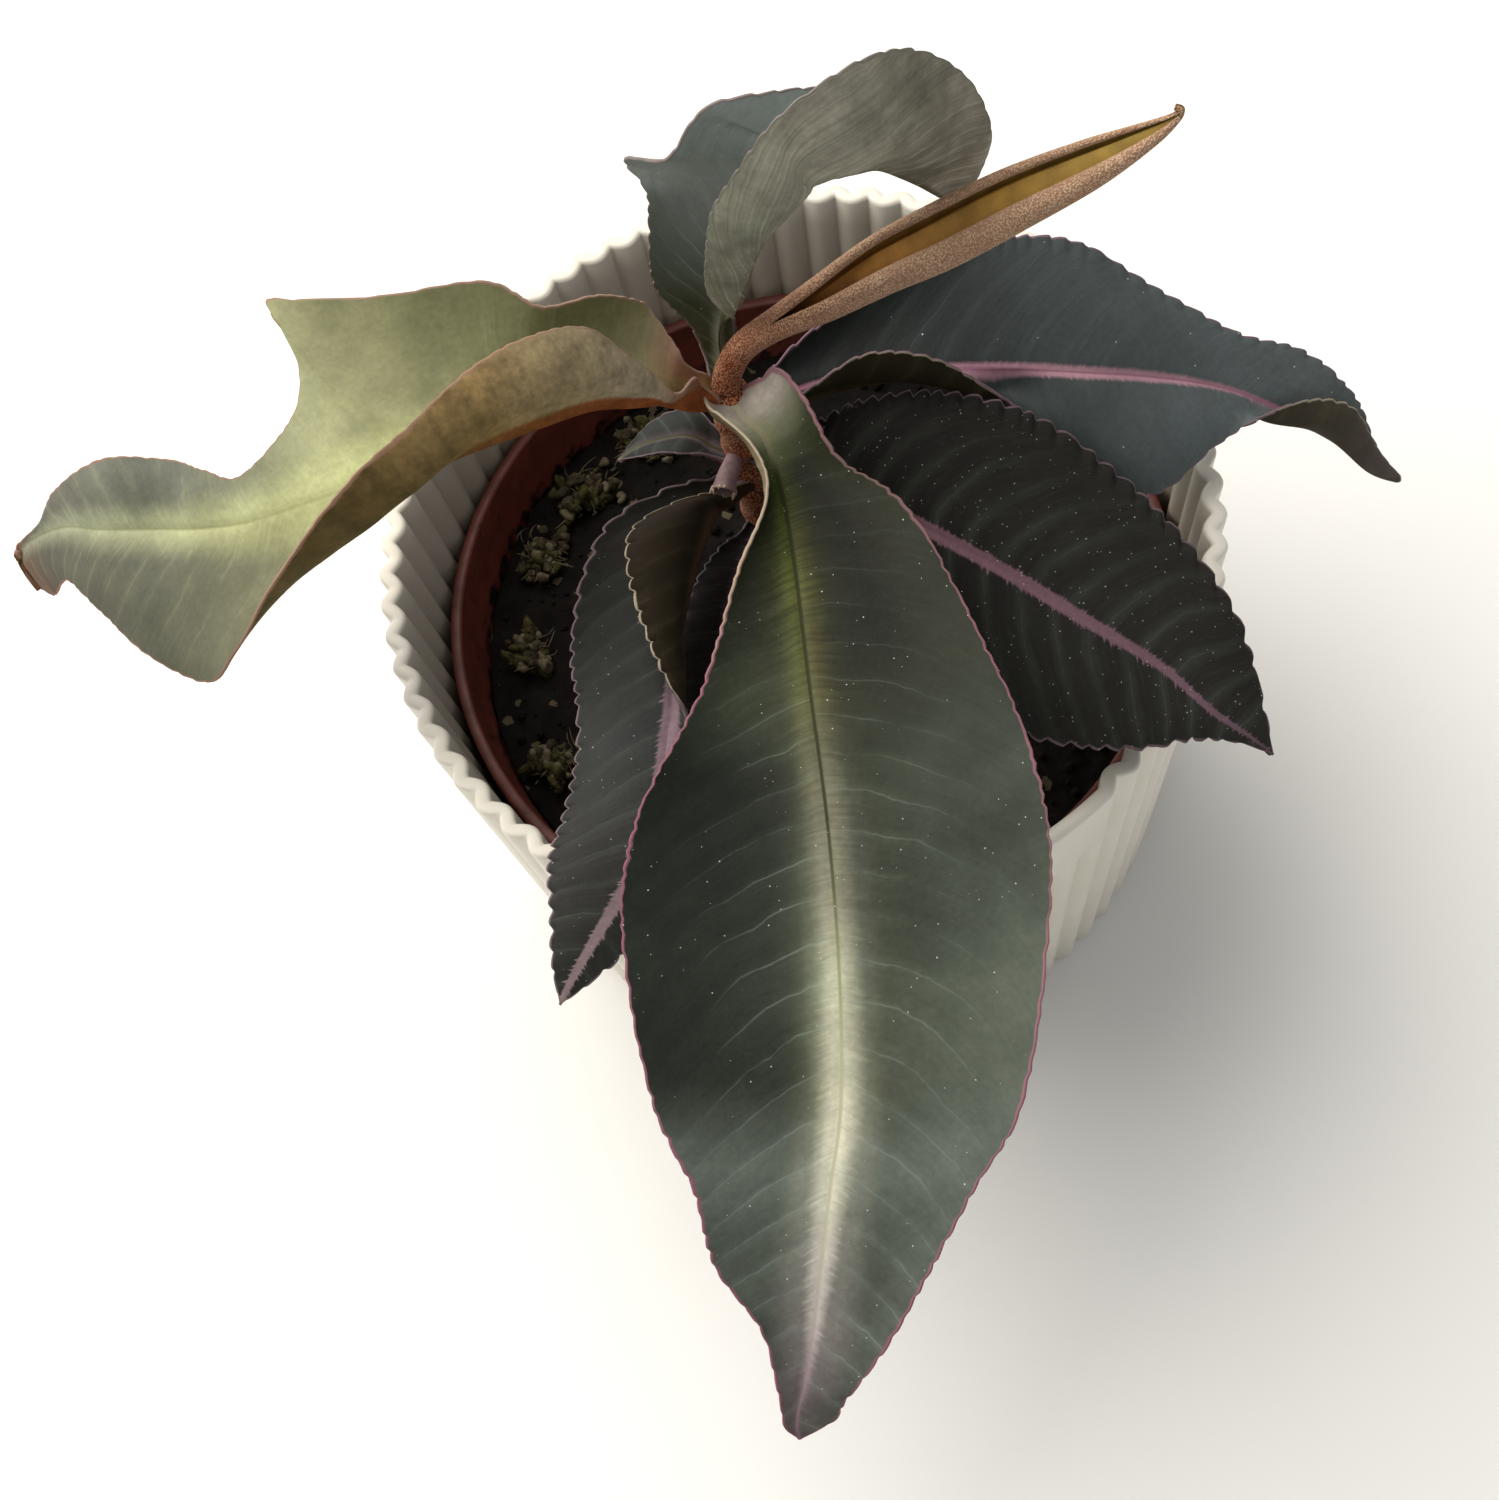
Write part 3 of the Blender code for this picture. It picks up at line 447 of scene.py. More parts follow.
def downMaterial(name, look):
    made, node = newMaterial(name)
    inside = node("TexCoord").outputs["Object"]
    hairs = node("TexVoronoi", {"Vector": inside, "Scale": 1000 / look["pitch"]}, feature="F1")
    patches = node("TexNoise", {"Vector": inside, "Scale": 1000 / downLook["litTipSize"], "Detail": 4.0})
    gap = node("MapRange", {"Value": hairs.outputs["Distance"], "From Min": 0.25, "From Max": 0.6})
    litTips = node("MapRange", {"Value": patches, "From Min": 0.4, "From Max": 0.65})
    along = node("SeparateXYZ", {0: node("Attribute", attribute_name="blade").outputs["Vector"]})
    grown = node("MapRange", {"Value": along.outputs[1], "From Min": 0.12, "From Max": 0.42})
    tones = {key: node("Mix", {0: grown, 6: downLook[key], 7: look[key]}, data_type="RGBA").outputs[2]
             for key in ("tip", "skin", "root")}
    # painted highlight: patches of the pale tip colour where the hair tips catch the light
    base = node("Mix", {0: litTips, 6: tones["tip"], 7: tones["skin"]}, data_type="RGBA")
    body = node("Mix", {0: gap, 6: base, 7: tones["root"]}, data_type="RGBA")
    nap = node("Math", {0: hairs.outputs["Distance"], 1: -1.0}, operation="MULTIPLY")
    skin = node("Bump", {"Height": nap, "Distance": downLook["hairDepth"] * mm, "Strength": 0.8})
    down = node("BsdfPrincipled", {
        "Base Color": body, "Roughness": downLook["rough"], "Normal": skin,
        "Specular IOR Level": downLook["specular"], "Sheen Weight": downLook["sheen"],
        "Sheen Roughness": downLook["sheenRough"], "Sheen Tint": downLook["sheenTint"]})
    node("OutputMaterial", {"Surface": down})
    return made


def makeStem():
    foot, top = Vector(stemFoot), Vector(stemTop)
    rows = stemLook["rows"]
    points = [foot.lerp(top, row / rows) for row in range(rows + 1)]
    radii = []
    for row in range(rows + 1):
        share = row / rows
        swell = abs(math.sin(math.pi * share * (top - foot).length / stemLook["jointPitch"])) ** 6
        radii.append(stemLook["footRadius"] + (stemLook["topRadius"] - stemLook["footRadius"]) * share
                     + stemLook["jointSwell"] * swell)
    # the end is rounded off between the youngest leaves
    for back, share in enumerate(stemLook["endRounding"], 1):
        radii[-back] *= share
    stem = bmesh.new()
    tubeAlong(stem, points, radii, stemLook["steps"])
    addPiece("stem_core", stem, [downMaterial("rust_down", downLook)], ["stem"])
    print("stem made")


# The newest leaf is still rolled from both margins: two downy lips with the golden upper side between.
# Rows of centre, half width, half height and how far the trough has opened.
rolledRows = [
    ((-6.5, 12.6, 107.6), 2.2, 2.2, 0.0), ((-5.2, 13.2, 111.5), 2.2, 2.2, 0.0),
    ((-2.5, 13.3, 116), 2.2, 2.2, 0.0), ((2.5, 12.0, 121.5), 2.4, 2.3, 0.05),
    ((10, 10.2, 128), 3.4, 2.6, 0.6), ((18.5, 8.8, 135), 4.2, 2.7, 0.95),
    ((27, 7.2, 141), 4.6, 2.7, 1.0), ((36.5, 5.5, 148), 4.3, 2.5, 1.0), ((46.5, 4.2, 154), 3.3, 2.0, 1.0),
    ((54, 3.9, 158), 1.8, 1.3, 0.9), ((57.6, 4.2, 160.0), 0.8, 0.6, 0.5), ((58.3, 4.6, 160.9), 0.5, 0.5, 0.0),
    ((57.6, 4.9, 161.2), 0.3, 0.3, 0.0),
]
# half sections from the keel round the wall and over the lip, as shares of half width and half height
rolledLips = {
    "closed": [(0, -1), (0.5, -0.87), (0.87, -0.5), (1, 0), (0.87, 0.5), (0.5, 0.87), (0, 1), (0, 0.85),
               (0.02, 0.7), (0.05, 0.5)],
    "front": [(0, -0.85), (0.45, -0.95), (0.85, -0.75), (1, -0.1), (0.95, 0.55), (0.64, 0.92), (0.3, 0.78),
              (0.14, 0.38), (0.22, 0.0), (0.42, -0.12)],
    "back": [(0, -0.85), (0.45, -0.95), (0.82, -0.75), (0.98, -0.15), (1, 0.35), (0.9, 0.62), (0.74, 0.62),
             (0.66, 0.38), (0.7, 0.14), (0.8, 0.05)],
}
rolledLook = {"rows": 240, "columns": 72, "thickness": 0.45, "deepest": 3.4, "fill": 1.05,
              "fillEdge": (0.1, 0.34), "facing": (0.05, -0.5, 0.87), "waver": 0.05, "fibreSize": 3.12,
              "fibreDepth": 0.3, "glow": 0.15,
              "gold": [(0.2, "#b0682c"), (0.4, "#b47c38"), (0.7, "#b09040"), (1.0, "#b09848")],
              "down": {"tip": "#d8b89a", "root": "#a07c62", "skin": "#c0a084", "pitch": 0.32}}


def makeRolledLeaf():
    centres = [Vector(row[0]) for row in rolledRows]
    sizes = [Vector(row[1:]) for row in rolledRows]
    lips = {key: [Vector((*point, 0)) for point in points] for key, points in rolledLips.items()}
    leaf = bmesh.new()
    bmesh.ops.create_grid(leaf, x_segments=rolledLook["columns"], y_segments=rolledLook["rows"], size=1.0)
    place = leaf.verts.layers.float_vector.new("blade")
    weight = leaf.verts.layers.deform.verify()
    for vert in leaf.verts:
        along, across = (vert.co.y + 1) / 2, vert.co.x
        centre, size = curveThrough(centres, along), curveThrough(sizes, along)
        ahead = curveThrough(centres, min(along + 0.01, 1)) - curveThrough(centres, max(along - 0.01, 0))
        ahead.normalize()
        side = ahead.cross(Vector(rolledLook["facing"])).normalized()
        up = side.cross(ahead)
        edge = curveThrough(lips["front" if across > 0 else "back"], abs(across))
        opened = max(0.0, min(1.0, size.z))
        edge = curveThrough(lips["closed"], abs(across)).lerp(edge, opened)
        x = edge.x * size.x * (1 if across > 0 else -1)
        # the keel stands out a little below, and the lips waver
        y = edge.y * size.y * (1 + rolledLook["waver"] * noise.noise(Vector((along * 14, across * 2, 5))))
        vert[place] = (x, along, abs(across))
        # the inner turns of the blade fill the trough from its keel up
        filling = rolledLook["fill"] * size.y * opened
        filling *= 1 - smoothStep(*rolledLook["fillEdge"], abs(across))
        vert[weight][0] = (rolledLook["thickness"] + filling) / rolledLook["deepest"]
        vert.co = (centre + side * x + up * y) * mm
    bmesh.ops.reverse_faces(leaf, faces=leaf.faces[:])

    # the young blade inside, still without its green: waxy gold over soft fibres
    made, node = newMaterial("golden_young_blade")
    inside = node("TexCoord").outputs["Object"]
    along = node("SeparateXYZ", {0: node("Attribute", attribute_name="blade").outputs["Vector"]})
    tone = fillRamp(node("ValToRGB", {0: along.outputs[1]}), rolledLook["gold"])
    fibres = node("TexNoise", {"Vector": inside, "Scale": 1000 / rolledLook["fibreSize"], "Detail": 4.0})
    share = node("MapRange", {"Value": fibres, "From Min": 0.35, "From Max": 0.65, "To Min": 0.65,
                              "To Max": 1.0})
    body = node("Mix", {0: 1.0, 6: tone, 7: share}, data_type="RGBA", blend_type="MULTIPLY")
    skin = node("Bump", {"Height": fibres, "Distance": rolledLook["fibreDepth"] * mm, "Strength": 0.6})
    waxy = node("BsdfPrincipled", {"Base Color": body, "Roughness": 0.6, "Normal": skin,
                                   "Specular IOR Level": 0.3})
    through = node("BsdfTranslucent", {"Color": body, "Normal": skin})
    both = node("MixShader", {0: rolledLook["glow"], 1: waxy, 2: through})
    node("OutputMaterial", {"Surface": both})
    piece = addPiece("leaf_rolled_blade", leaf, [downMaterial("pale_rust_down", rolledLook["down"]), made],
                     ["leaf_rolled"])
    thicken(piece, rolledLook["deepest"])
    print("rolled leaf made")


# The stump of a dropped leaf: mauve skin, drying to a frayed cream end. Buds: glossy rose scales.
stubRows = [((-6.5, 11.0, 92.3), 1.3), ((-7.7, 9.0, 92.2), 1.4), ((-8.8, 7.0, 92.0), 1.6),
            ((-9.6, 5.2, 91.7), 1.85), ((-10.0, 4.2, 91.5), 2.1)]
stubLook = {"steps": 40, "rows": 40, "wall": 0.45, "hollow": 2.2, "frays": 12, "fray": 1.5,
            "frayRadii": (0.28, 0.2, 0.05), "skin": "#6e5558", "pale": "#8f7673", "dry": "#c9b588",
            "size": 1.667, "detail": 4.0, "crumble": 0.5, "depth": 0.2, "relief": 0.7, "rough": 0.7,
            "specular": 0.5}
buds = {"axil_bud_1": (-2.9, 7.7, 81.0, 1.5), "axil_bud_2": (-4.0, 7.1, 75.8, 1.3)}
budLook = {"squeeze": (0.8, 0.8, 1.25), "scales": 0.05, "tip": 0.18, "colour": "#7d5560", "deep": "#55363f",
           "size": 1.43, "detail": 3.0, "crumble": 0.5, "depth": 0.0, "relief": 0.0, "rough": 0.35,
           "specular": 0.5}


def makeStubAndBuds():
    centres = [Vector(row[0]) for row in stubRows]
    radii = [Vector((row[1], 0, 0)) for row in stubRows]
    rows = stubLook["rows"]
    points = [curveThrough(centres, row / rows) for row in range(rows + 1)]
    spans = [curveThrough(radii, row / rows).x for row in range(rows + 1)]
    stub = bmesh.new()
    skin = tubeAlong(stub, points, spans, stubLook["steps"])
    end, ahead = points[-1], (points[-1] - points[-4]).normalized()
    # the cut end is hollow, with a thin wall left standing
    mouth = [face for face in skin if face.normal.dot(ahead) > 0.9 and len(face.verts) > 4]
    bmesh.ops.inset_region(stub, faces=mouth, thickness=stubLook["wall"] * mm)
    sunk = bmesh.ops.extrude_face_region(stub, geom=mouth)["geom"]
    bmesh.ops.delete(stub, geom=mouth, context="FACES_KEEP_BOUNDARY")
    floor = [item for item in sunk if isinstance(item, bmesh.types.BMVert)]
    bmesh.ops.translate(stub, verts=floor, vec=ahead * -stubLook["hollow"] * mm)
    for index in range(stubLook["frays"]):
        pick = noise.random_unit_vector()
        rim = (pick - ahead * pick.dot(ahead)).normalized() * (spans[-1] - stubLook["wall"] * 0.5)
        start = end + rim - ahead * 0.4
        lean = (ahead + noise.random_vector() * 0.5).normalized() * stubLook["fray"]
        lean *= 0.3 + 0.7 * abs(pick.x)
        for face in tubeAlong(stub, [start, start + lean * 0.5, start + lean], stubLook["frayRadii"], 6):
            face.material_index = 1
    finishes = [mottledMaterial("dried_petiole_skin", stubLook["pale"], stubLook["skin"], stubLook),
                mottledMaterial("frayed_fibre", stubLook["dry"], stubLook["pale"], stubLook)]
    addPiece("petiole_stub_end", stub, finishes, ["petiole_stub"])

    skin = mottledMaterial("bud_scale_skin", budLook["colour"], budLook["deep"], budLook)
    for name, (x, y, z, radius) in buds.items():
        bud = bmesh.new()
        bmesh.ops.create_uvsphere(bud, u_segments=32, v_segments=24, radius=radius * mm)
        for vert in bud.verts:
            # overlapping scales and a pointed tip
            angle, rise = math.atan2(vert.co.y, vert.co.x), vert.co.z / (radius * mm)
            vert.co *= (1 + budLook["scales"] * math.sin(angle * 2 + rise * 4)
                        + budLook["tip"] * max(0.0, rise) ** 6)
        bmesh.ops.scale(bud, verts=bud.verts, vec=budLook["squeeze"])
        bmesh.ops.translate(bud, verts=bud.verts, vec=Vector((x, y, z)) * mm)
        addPiece(name + "_scales", bud, [skin], [name])
    print("stub and buds made")


# The leaves. Each is one blade with its winged petiole, drawn as cross-sections from the stem to
# the tip: midrib, left margin, right margin, then how far each half bows up out of its straight line.
# Left and right are those of someone looking along the leaf from above. All in millimetres.
leafShapes = {
    "leaf_front": [
        ((-5.7, 8.9, 106), (-4.1, 9, 106.5), (-7.3, 8.8, 106), -0.3, -0.3),
        ((-5.2, 7.6, 107), (-1.6, 9.2, 110), (-9.4, 8.6, 109.6), -1.0, -1.2),
        ((-4.7, 6.6, 107.6), (-0.6, 9.6, 112), (-9.2, 6.6, 111.4), -1.2, -1.5),
        ((-4, 5, 108.5), (1.5, 9.5, 114.5), (-7.6, 4.6, 112.2), -1.8, -1.2),
        ((-2, 0, 111), (4.5, 2, 117), (-3.5, -4, 115.5), -2.0, -1.5),
        ((-1, -11, 114), (8, -10, 118), (-3, -15, 119), -1.0, -1.0),
        ((-1, -25, 117), (16, -22, 121), (-9, -28, 122), -1.0, -1.0),
        ((-2, -45, 118.5), (21.8, -42.6, 121), (-16.8, -45.5, 122.5), -1.2, -1.2),
        ((-3, -66, 117.5), (25.6, -61.8, 119), (-27.6, -60.8, 121), -1.5, -1.5),
        ((-5, -85, 113), (24.7, -78.5, 114.5), (-32.5, -74.6, 116), -1.5, -1.5),
        ((-8, -100.9, 106.5), (16, -104.2, 109.5), (-32.3, -96.4, 110), -1.2, -1.2),
        ((-11.4, -110.6, 102.2), (7.2, -114.4, 105), (-28.9, -108.4, 106), -1.0, -0.8),
        ((-14.7, -120.3, 97.6), (-0.8, -123.3, 100), (-28, -117.6, 101.5), -0.8, -0.5),
        ((-17.3, -127.7, 94), (-7.2, -130, 95.5), (-23.6, -125.6, 97), -0.5, -0.3),
        ((-19.6, -133, 91), (-12.6, -134.4, 92), (-22.8, -133, 92.8), -0.3, -0.1),
        ((-20.6, -135, 90), (-14.4, -135.6, 90.4), (-22.9, -135.4, 90.8), -0.2, 0.0),
        ((-21.4, -137.4, 88.6), (-16.2, -137.4, 88.9), (-22.9, -137.4, 89.2), -0.1, 0.0),
        ((-21.3, -138.8, 87.5),),
    ],
    "leaf_left": [
        ((-10.2, 12.1, 106), (-10.2, 10.4, 106.5), (-10.2, 13.9, 106.5), -0.3, -0.3),
        ((-13, 11, 110), (-10.6, 10.9, 114.2), (-12, 15, 113.5), -1.0, -1.0),
        ((-15, 10.4, 112.5), (-13.4, 7.4, 116), (-13.2, 17.5, 115.6), -1.2, -1.0),
        ((-17, 9.5, 114.5), (-15.6, 7.6, 120), (-14.6, 20, 118), -1.8, -1.4),
        ((-20, 8, 117), (-19, 8, 126), (-16, 21, 121), -2.5, -2.0),
        ((-26, 6, 121), (-24, 8, 135), (-22, 19, 127), -3.5, -2.5),
        ((-33, 2, 125), (-32, 6, 138), (-30, 16, 131), -4.0, -3.0),
        ((-41, -1, 127), (-41, 2, 138), (-37, 20, 134), -4.2, -3.5),
        ((-48, -2.5, 127.2), (-50, -4, 137), (-52, 21, 134), -5.0, -3.0),
        ((-50.6, -3.0, 127.0), (-53, -6, 136.7), (-64.5, 25.2, 131.4), -5.3, -1.5),
        ((-53.5, -3.4, 126.6), (-57, -8.5, 136), (-70.2, 27.4, 130), -5.4, -0.5),
        ((-56.3, -3.7, 126.1), (-61, -11, 134.5), (-68.5, 22.3, 129), -5.4, 0.0),
        ((-59.5, -3.9, 125.4), (-66, -14, 132), (-66.7, 15.5, 127.7), -5.2, 0.0),
        ((-66.5, -4, 123.6), (-74, -19, 126), (-69, 8.5, 126), -4.2, 0.3),
        ((-78, -3, 119.5), (-81.5, -23, 118), (-78, 3.5, 122), -2.5, 0.3),
        ((-86, -1, 117), (-88.5, -22.5, 109.5), (-83.5, 6, 121.5), 1.0, 1.0),
        ((-94, 3, 113), (-99, -13, 105), (-89, 10, 120), 1.5, 1.0),
        ((-103.2, 6.7, 110), (-106.5, -2.8, 102), (-100.5, 14.9, 116.5), 1.0, 1.0),
        ((-110.8, 11.4, 105.5), (-112, 5.2, 99.5), (-110.3, 15.6, 110), 0.5, 0.5),
        ((-117.8, 14.0, 100), (-115.2, 7.6, 95.5), (-115.1, 14.3, 104), 0.4, 0.3),
        ((-122.4, 15.6, 94), (-117.6, 9.4, 90.5), (-121, 15.4, 97.5), 0.4, 0.2),
        ((-122.4, 14.6, 90), (-119.6, 11.2, 87.5), (-122.6, 14.8, 92.5), 0.2, 0.1),
        ((-121.6, 13.0, 87.2),),
    ],
    "leaf_back": [
        ((-6.5, 16.3, 106.5), (-8.2, 16.4, 107), (-4.8, 16.4, 107), -0.3, -0.3),
        ((-6, 17, 115), (-10, 19, 115), (-3.5, 16, 118), -1.0, -1.0),
        ((-3, 16, 126), (-14, 21, 124), (-6, 11, 134), -1.0, -2.5),
        ((0, 15, 136), (-13, 22, 135), (-5, 7, 148), -1.0, -4.0),
        ((3, 13, 144), (-12, 22, 144), (-3, 5, 159), -1.5, -4.5),
        ((7, 12, 150), (-14, 24, 149), (1, 4, 167), 0.0, -5.0),
        ((11, 12, 154), (-8, 15, 158), (6, 4, 174), -1.5, -5.0),
        ((16, 11, 155), (-2, 16, 165), (12, 5, 178), -2.0, -5.0),
        ((20, 13, 152), (6, 16, 166), (19, 8, 178), -2.0, -5.0),
        ((24, 15, 146), (15, 19, 161), (26, 13, 172), -2.0, -4.0),
        ((27, 18, 139), (24, 21, 151), (33, 16, 161), -1.0, -2.0),
        ((30, 21, 132), (29, 22, 140), (36, 18, 146), -0.5, -1.0),
        ((33, 25, 125),),
    ],
    "leaf_right_upper": [
        ((-2.8, 14.1, 98), (-3.8, 15.3, 98.5), (-2.3, 12.5, 98.5), -0.3, -0.3),
        ((5, 15, 100), (5, 21, 103), (5, 11, 104.5), -1.0, -1.0),
        ((14, 15, 101), (18, 26, 106), (15, 12, 110), -1.5, -2.5),
        ((24, 13, 102), (29, 28, 108), (25, 9, 110), -1.0, -3.0),
        ((35, 10, 102.5), (40, 29, 109), (34, 5, 103), 0.0, -3.0),
        ((46, 7, 102), (51, 26, 108), (43, -3, 96), 1.0, 1.0),
        ((57, 5, 100), (62, 17, 104), (54, -11, 92), 1.0, 1.5),
        ((67, 3, 97), (72, 10, 100), (66, -5, 93), 0.5, 1.0),
        ((76, 0, 93), (82, 7, 96), (77, -2, 96), 0.5, -2.5),
        ((85, -3, 86), (89, 1, 90), (87, -1, 91), 0.5, -2.5),
        ((91, -6, 79), (92, -3, 82), (91.5, -5, 83), 0.3, -1.0),
        ((96, -6, 74),),
    ],
    "leaf_right_lower": [
        ((-2.3, 10.2, 91), (-1.7, 11.7, 91.5), (-3.4, 8.9, 91.5), -0.3, -0.3),
        ((3, 4, 95), (6, 9.3, 98.8), (-1, 0, 95), -0.5, -0.5),
        ((11, -6, 99.5), (15, 9.2, 102.9), (2, -15, 96), 0.5, 0.5),
        ((20, -16, 102), (27, 6.3, 104.3), (9, -31, 97), 1.0, 1.5),
        ((30, -26, 102.5), (38.5, 0, 103.8), (19, -44, 97), 1.5, 1.5),
        ((39, -35, 101.5), (49, -12, 102), (30, -50, 95), 1.5, 1.5),
        ((48, -43, 99), (56, -24, 100.5), (42, -53, 93.5), 1.5, 1.0),
        ((54, -50, 96), (61, -37, 98), (51, -53, 93), 1.0, 0.5),
        ((59, -54, 93), (62, -48, 94), (57, -54, 92), 0.3, 0.2),
        ((62, -56, 90),),
    ],
    "leaf_front_left": [
        ((-7.7, 9.1, 84), (-6.5, 8.3, 84.5), (-8.9, 10.1, 84.5), -0.3, -0.3),
        ((-12, 6, 87), (-15, 4, 92), (-16, 9, 89), -1.5, -1.0),
        ((-15, 0, 89), (-24, -3, 98), (-28, 3, 92), -4.0, -1.0),
        ((-18, -8, 91), (-26, -11, 101), (-34, -8, 94), -4.0, -1.0),
        ((-21, -18, 93), (-25, -22, 101), (-37, -21, 95), -3.0, -0.5),
        ((-22, -28, 94.5), (-23, -30, 99), (-37, -29, 96), -1.5, 0.5),
        ((-24, -38, 95.5), (-20, -39, 93), (-38, -39, 97), 0.5, 1.0),
        ((-27, -49, 96), (-21, -50, 91), (-41, -48, 97), 0.5, 1.0),
        ((-32, -58, 95), (-26, -60, 90), (-44, -54, 96), 0.5, 1.0),
        ((-38, -65, 93), (-34, -67, 89), (-45, -61, 94), 0.5, 0.5),
        ((-43, -70, 90), (-41, -71, 88), (-46, -68, 91), 0.2, 0.2),
        ((-46, -73, 87),),
    ],
    "leaf_small_front": [
        ((-5.6, 7.9, 71), (-4.4, 7.8, 71.3), (-6.8, 8.2, 71.3), -0.2, -0.2),
        ((-8, 3, 74), (-5, 1, 74.5), (-12, 5, 75), -0.5, -0.5),
        ((-12, -6, 76), (-5, -9, 75.5), (-18, -3, 77), 0.5, 0.5),
        ((-15, -15, 75.5), (-8, -18, 74), (-22, -13, 77), 0.8, 0.8),
        ((-18, -22, 73), (-13, -25, 71), (-23, -20, 74), 0.5, 0.5),
        ((-21, -28, 69),),
    ],
    "leaf_small_left": [
        ((-9.4, 12.8, 87), (-9.3, 11.6, 87.3), (-9.3, 14, 87.3), -0.2, -0.2),
        ((-11, 14.5, 90), (-11.5, 12, 91), (-10, 17.5, 91), -0.5, -0.5),
        ((-14, 15.5, 92), (-15, 11.5, 93), (-13, 21, 91.5), 0.3, 0.5),
        ((-18, 15.8, 92), (-18.5, 12.5, 93), (-18, 20.5, 91.5), 0.3, 0.5),
        ((-22, 16, 91), (-22, 13.5, 91.5), (-22, 18.5, 90.5), 0.2, 0.3),
        ((-26, 16, 88),),
    ],
}

# how each leaf's margin is cut and its veins run, in millimetres
leafForms = {
    "leaf_front": {
        "toothPitch": 2.6, "toothDepth": 0.35, "crimp": 0.15, "veinPitch": 5.6, "veinSweep": (0.0, 0.65),
        "veinCurl": 0.014, "wave": 0.5, "rows": 320, "columns": 80},
    "leaf_left": {
        "toothPitch": 2.2, "toothDepth": 0.18, "crimp": 0.08, "veinPitch": 5.0, "veinSweep": (-0.1, 0.9),
        "veinCurl": 0.0, "wave": 0.4, "relief": 0.5, "rows": 300, "columns": 72},
    "leaf_back": {
        "toothPitch": 2.6, "toothDepth": 0.3, "crimp": 0.15, "veinPitch": 4.2, "veinSweep": (0.7, 1.0),
        "veinCurl": 0.02, "wave": 0.6, "rows": 260, "columns": 72},
    "leaf_right_upper": {
        "toothPitch": 2.7, "toothDepth": 0.4, "crimp": 0.25, "veinPitch": 6.0, "veinSweep": (0.2, 0.5),
        "veinCurl": 0.02, "wave": 0.5, "relief": 0.3, "rows": 300, "columns": 64},
    "leaf_right_lower": {
        "toothPitch": 3.0, "toothDepth": 0.85, "crimp": 0.5, "veinPitch": 6.0, "veinSweep": (0.2, 0.5),
        "veinCurl": 0.02, "wave": 0.4, "relief": 0.3, "rows": 300, "columns": 72},
    "leaf_front_left": {
        "toothPitch": 3.0, "toothDepth": 0.7, "crimp": 0.35, "veinPitch": 6.0, "veinSweep": (0.2, 0.5),
        "veinCurl": 0.02, "wave": 0.4, "rows": 280, "columns": 64},
    "leaf_small_front": {
        "toothPitch": 2.6, "toothDepth": 0.5, "crimp": 0.25, "veinPitch": 4.0, "veinSweep": (0.3, 0.3),
        "veinCurl": 0.02, "wave": 0.2, "rows": 110, "columns": 40},
    "leaf_small_left": {
        "toothPitch": 2.4, "toothDepth": 0.3, "crimp": 0.15, "veinPitch": 4.0, "veinSweep": (0.3, 0.3),
        "veinCurl": 0.02, "wave": 0.2, "rows": 80, "columns": 40},
}

# the leaf body is a solid sheet: thin across the blade, with the midrib standing out below
blade = {"thickness": 0.45, "crowding": 0.55, "tipWidth": 0.25, "rootPull": 3.0, "rootReach": 4.0,
         "midribDepth": 2.3, "midribHalf": 1.5, "midribThins": 0.85, "grooveDepth": 0.35, "grooveHalf": 0.7,
         "veinSink": 0.10, "veinWidth": 0.5, "quilt": 0.04, "veinShake": 0.8, "veinJitter": 0.3,
         "veinFade": (1.0, 4.0), "veinThins": 0.6, "sideShift": 0.42, "marginFrom": 0.80,
         "toothDrift": ((1.4, 0.11), (0.7, 0.4)), "toothUneven": 0.5, "toothBack": 0.78, "fullWidth": 6.0}


# one tooth of the margin swells slowly towards the tip, then drops back sharply
def toothSwell(run, pitch):
    local = (run / pitch) % 1.0
    back = blade["toothBack"]
    return math.sin(0.5 * math.pi * local / back) ** 0.8 if local < back else 1 - smoothStep(back, 1.0, local)


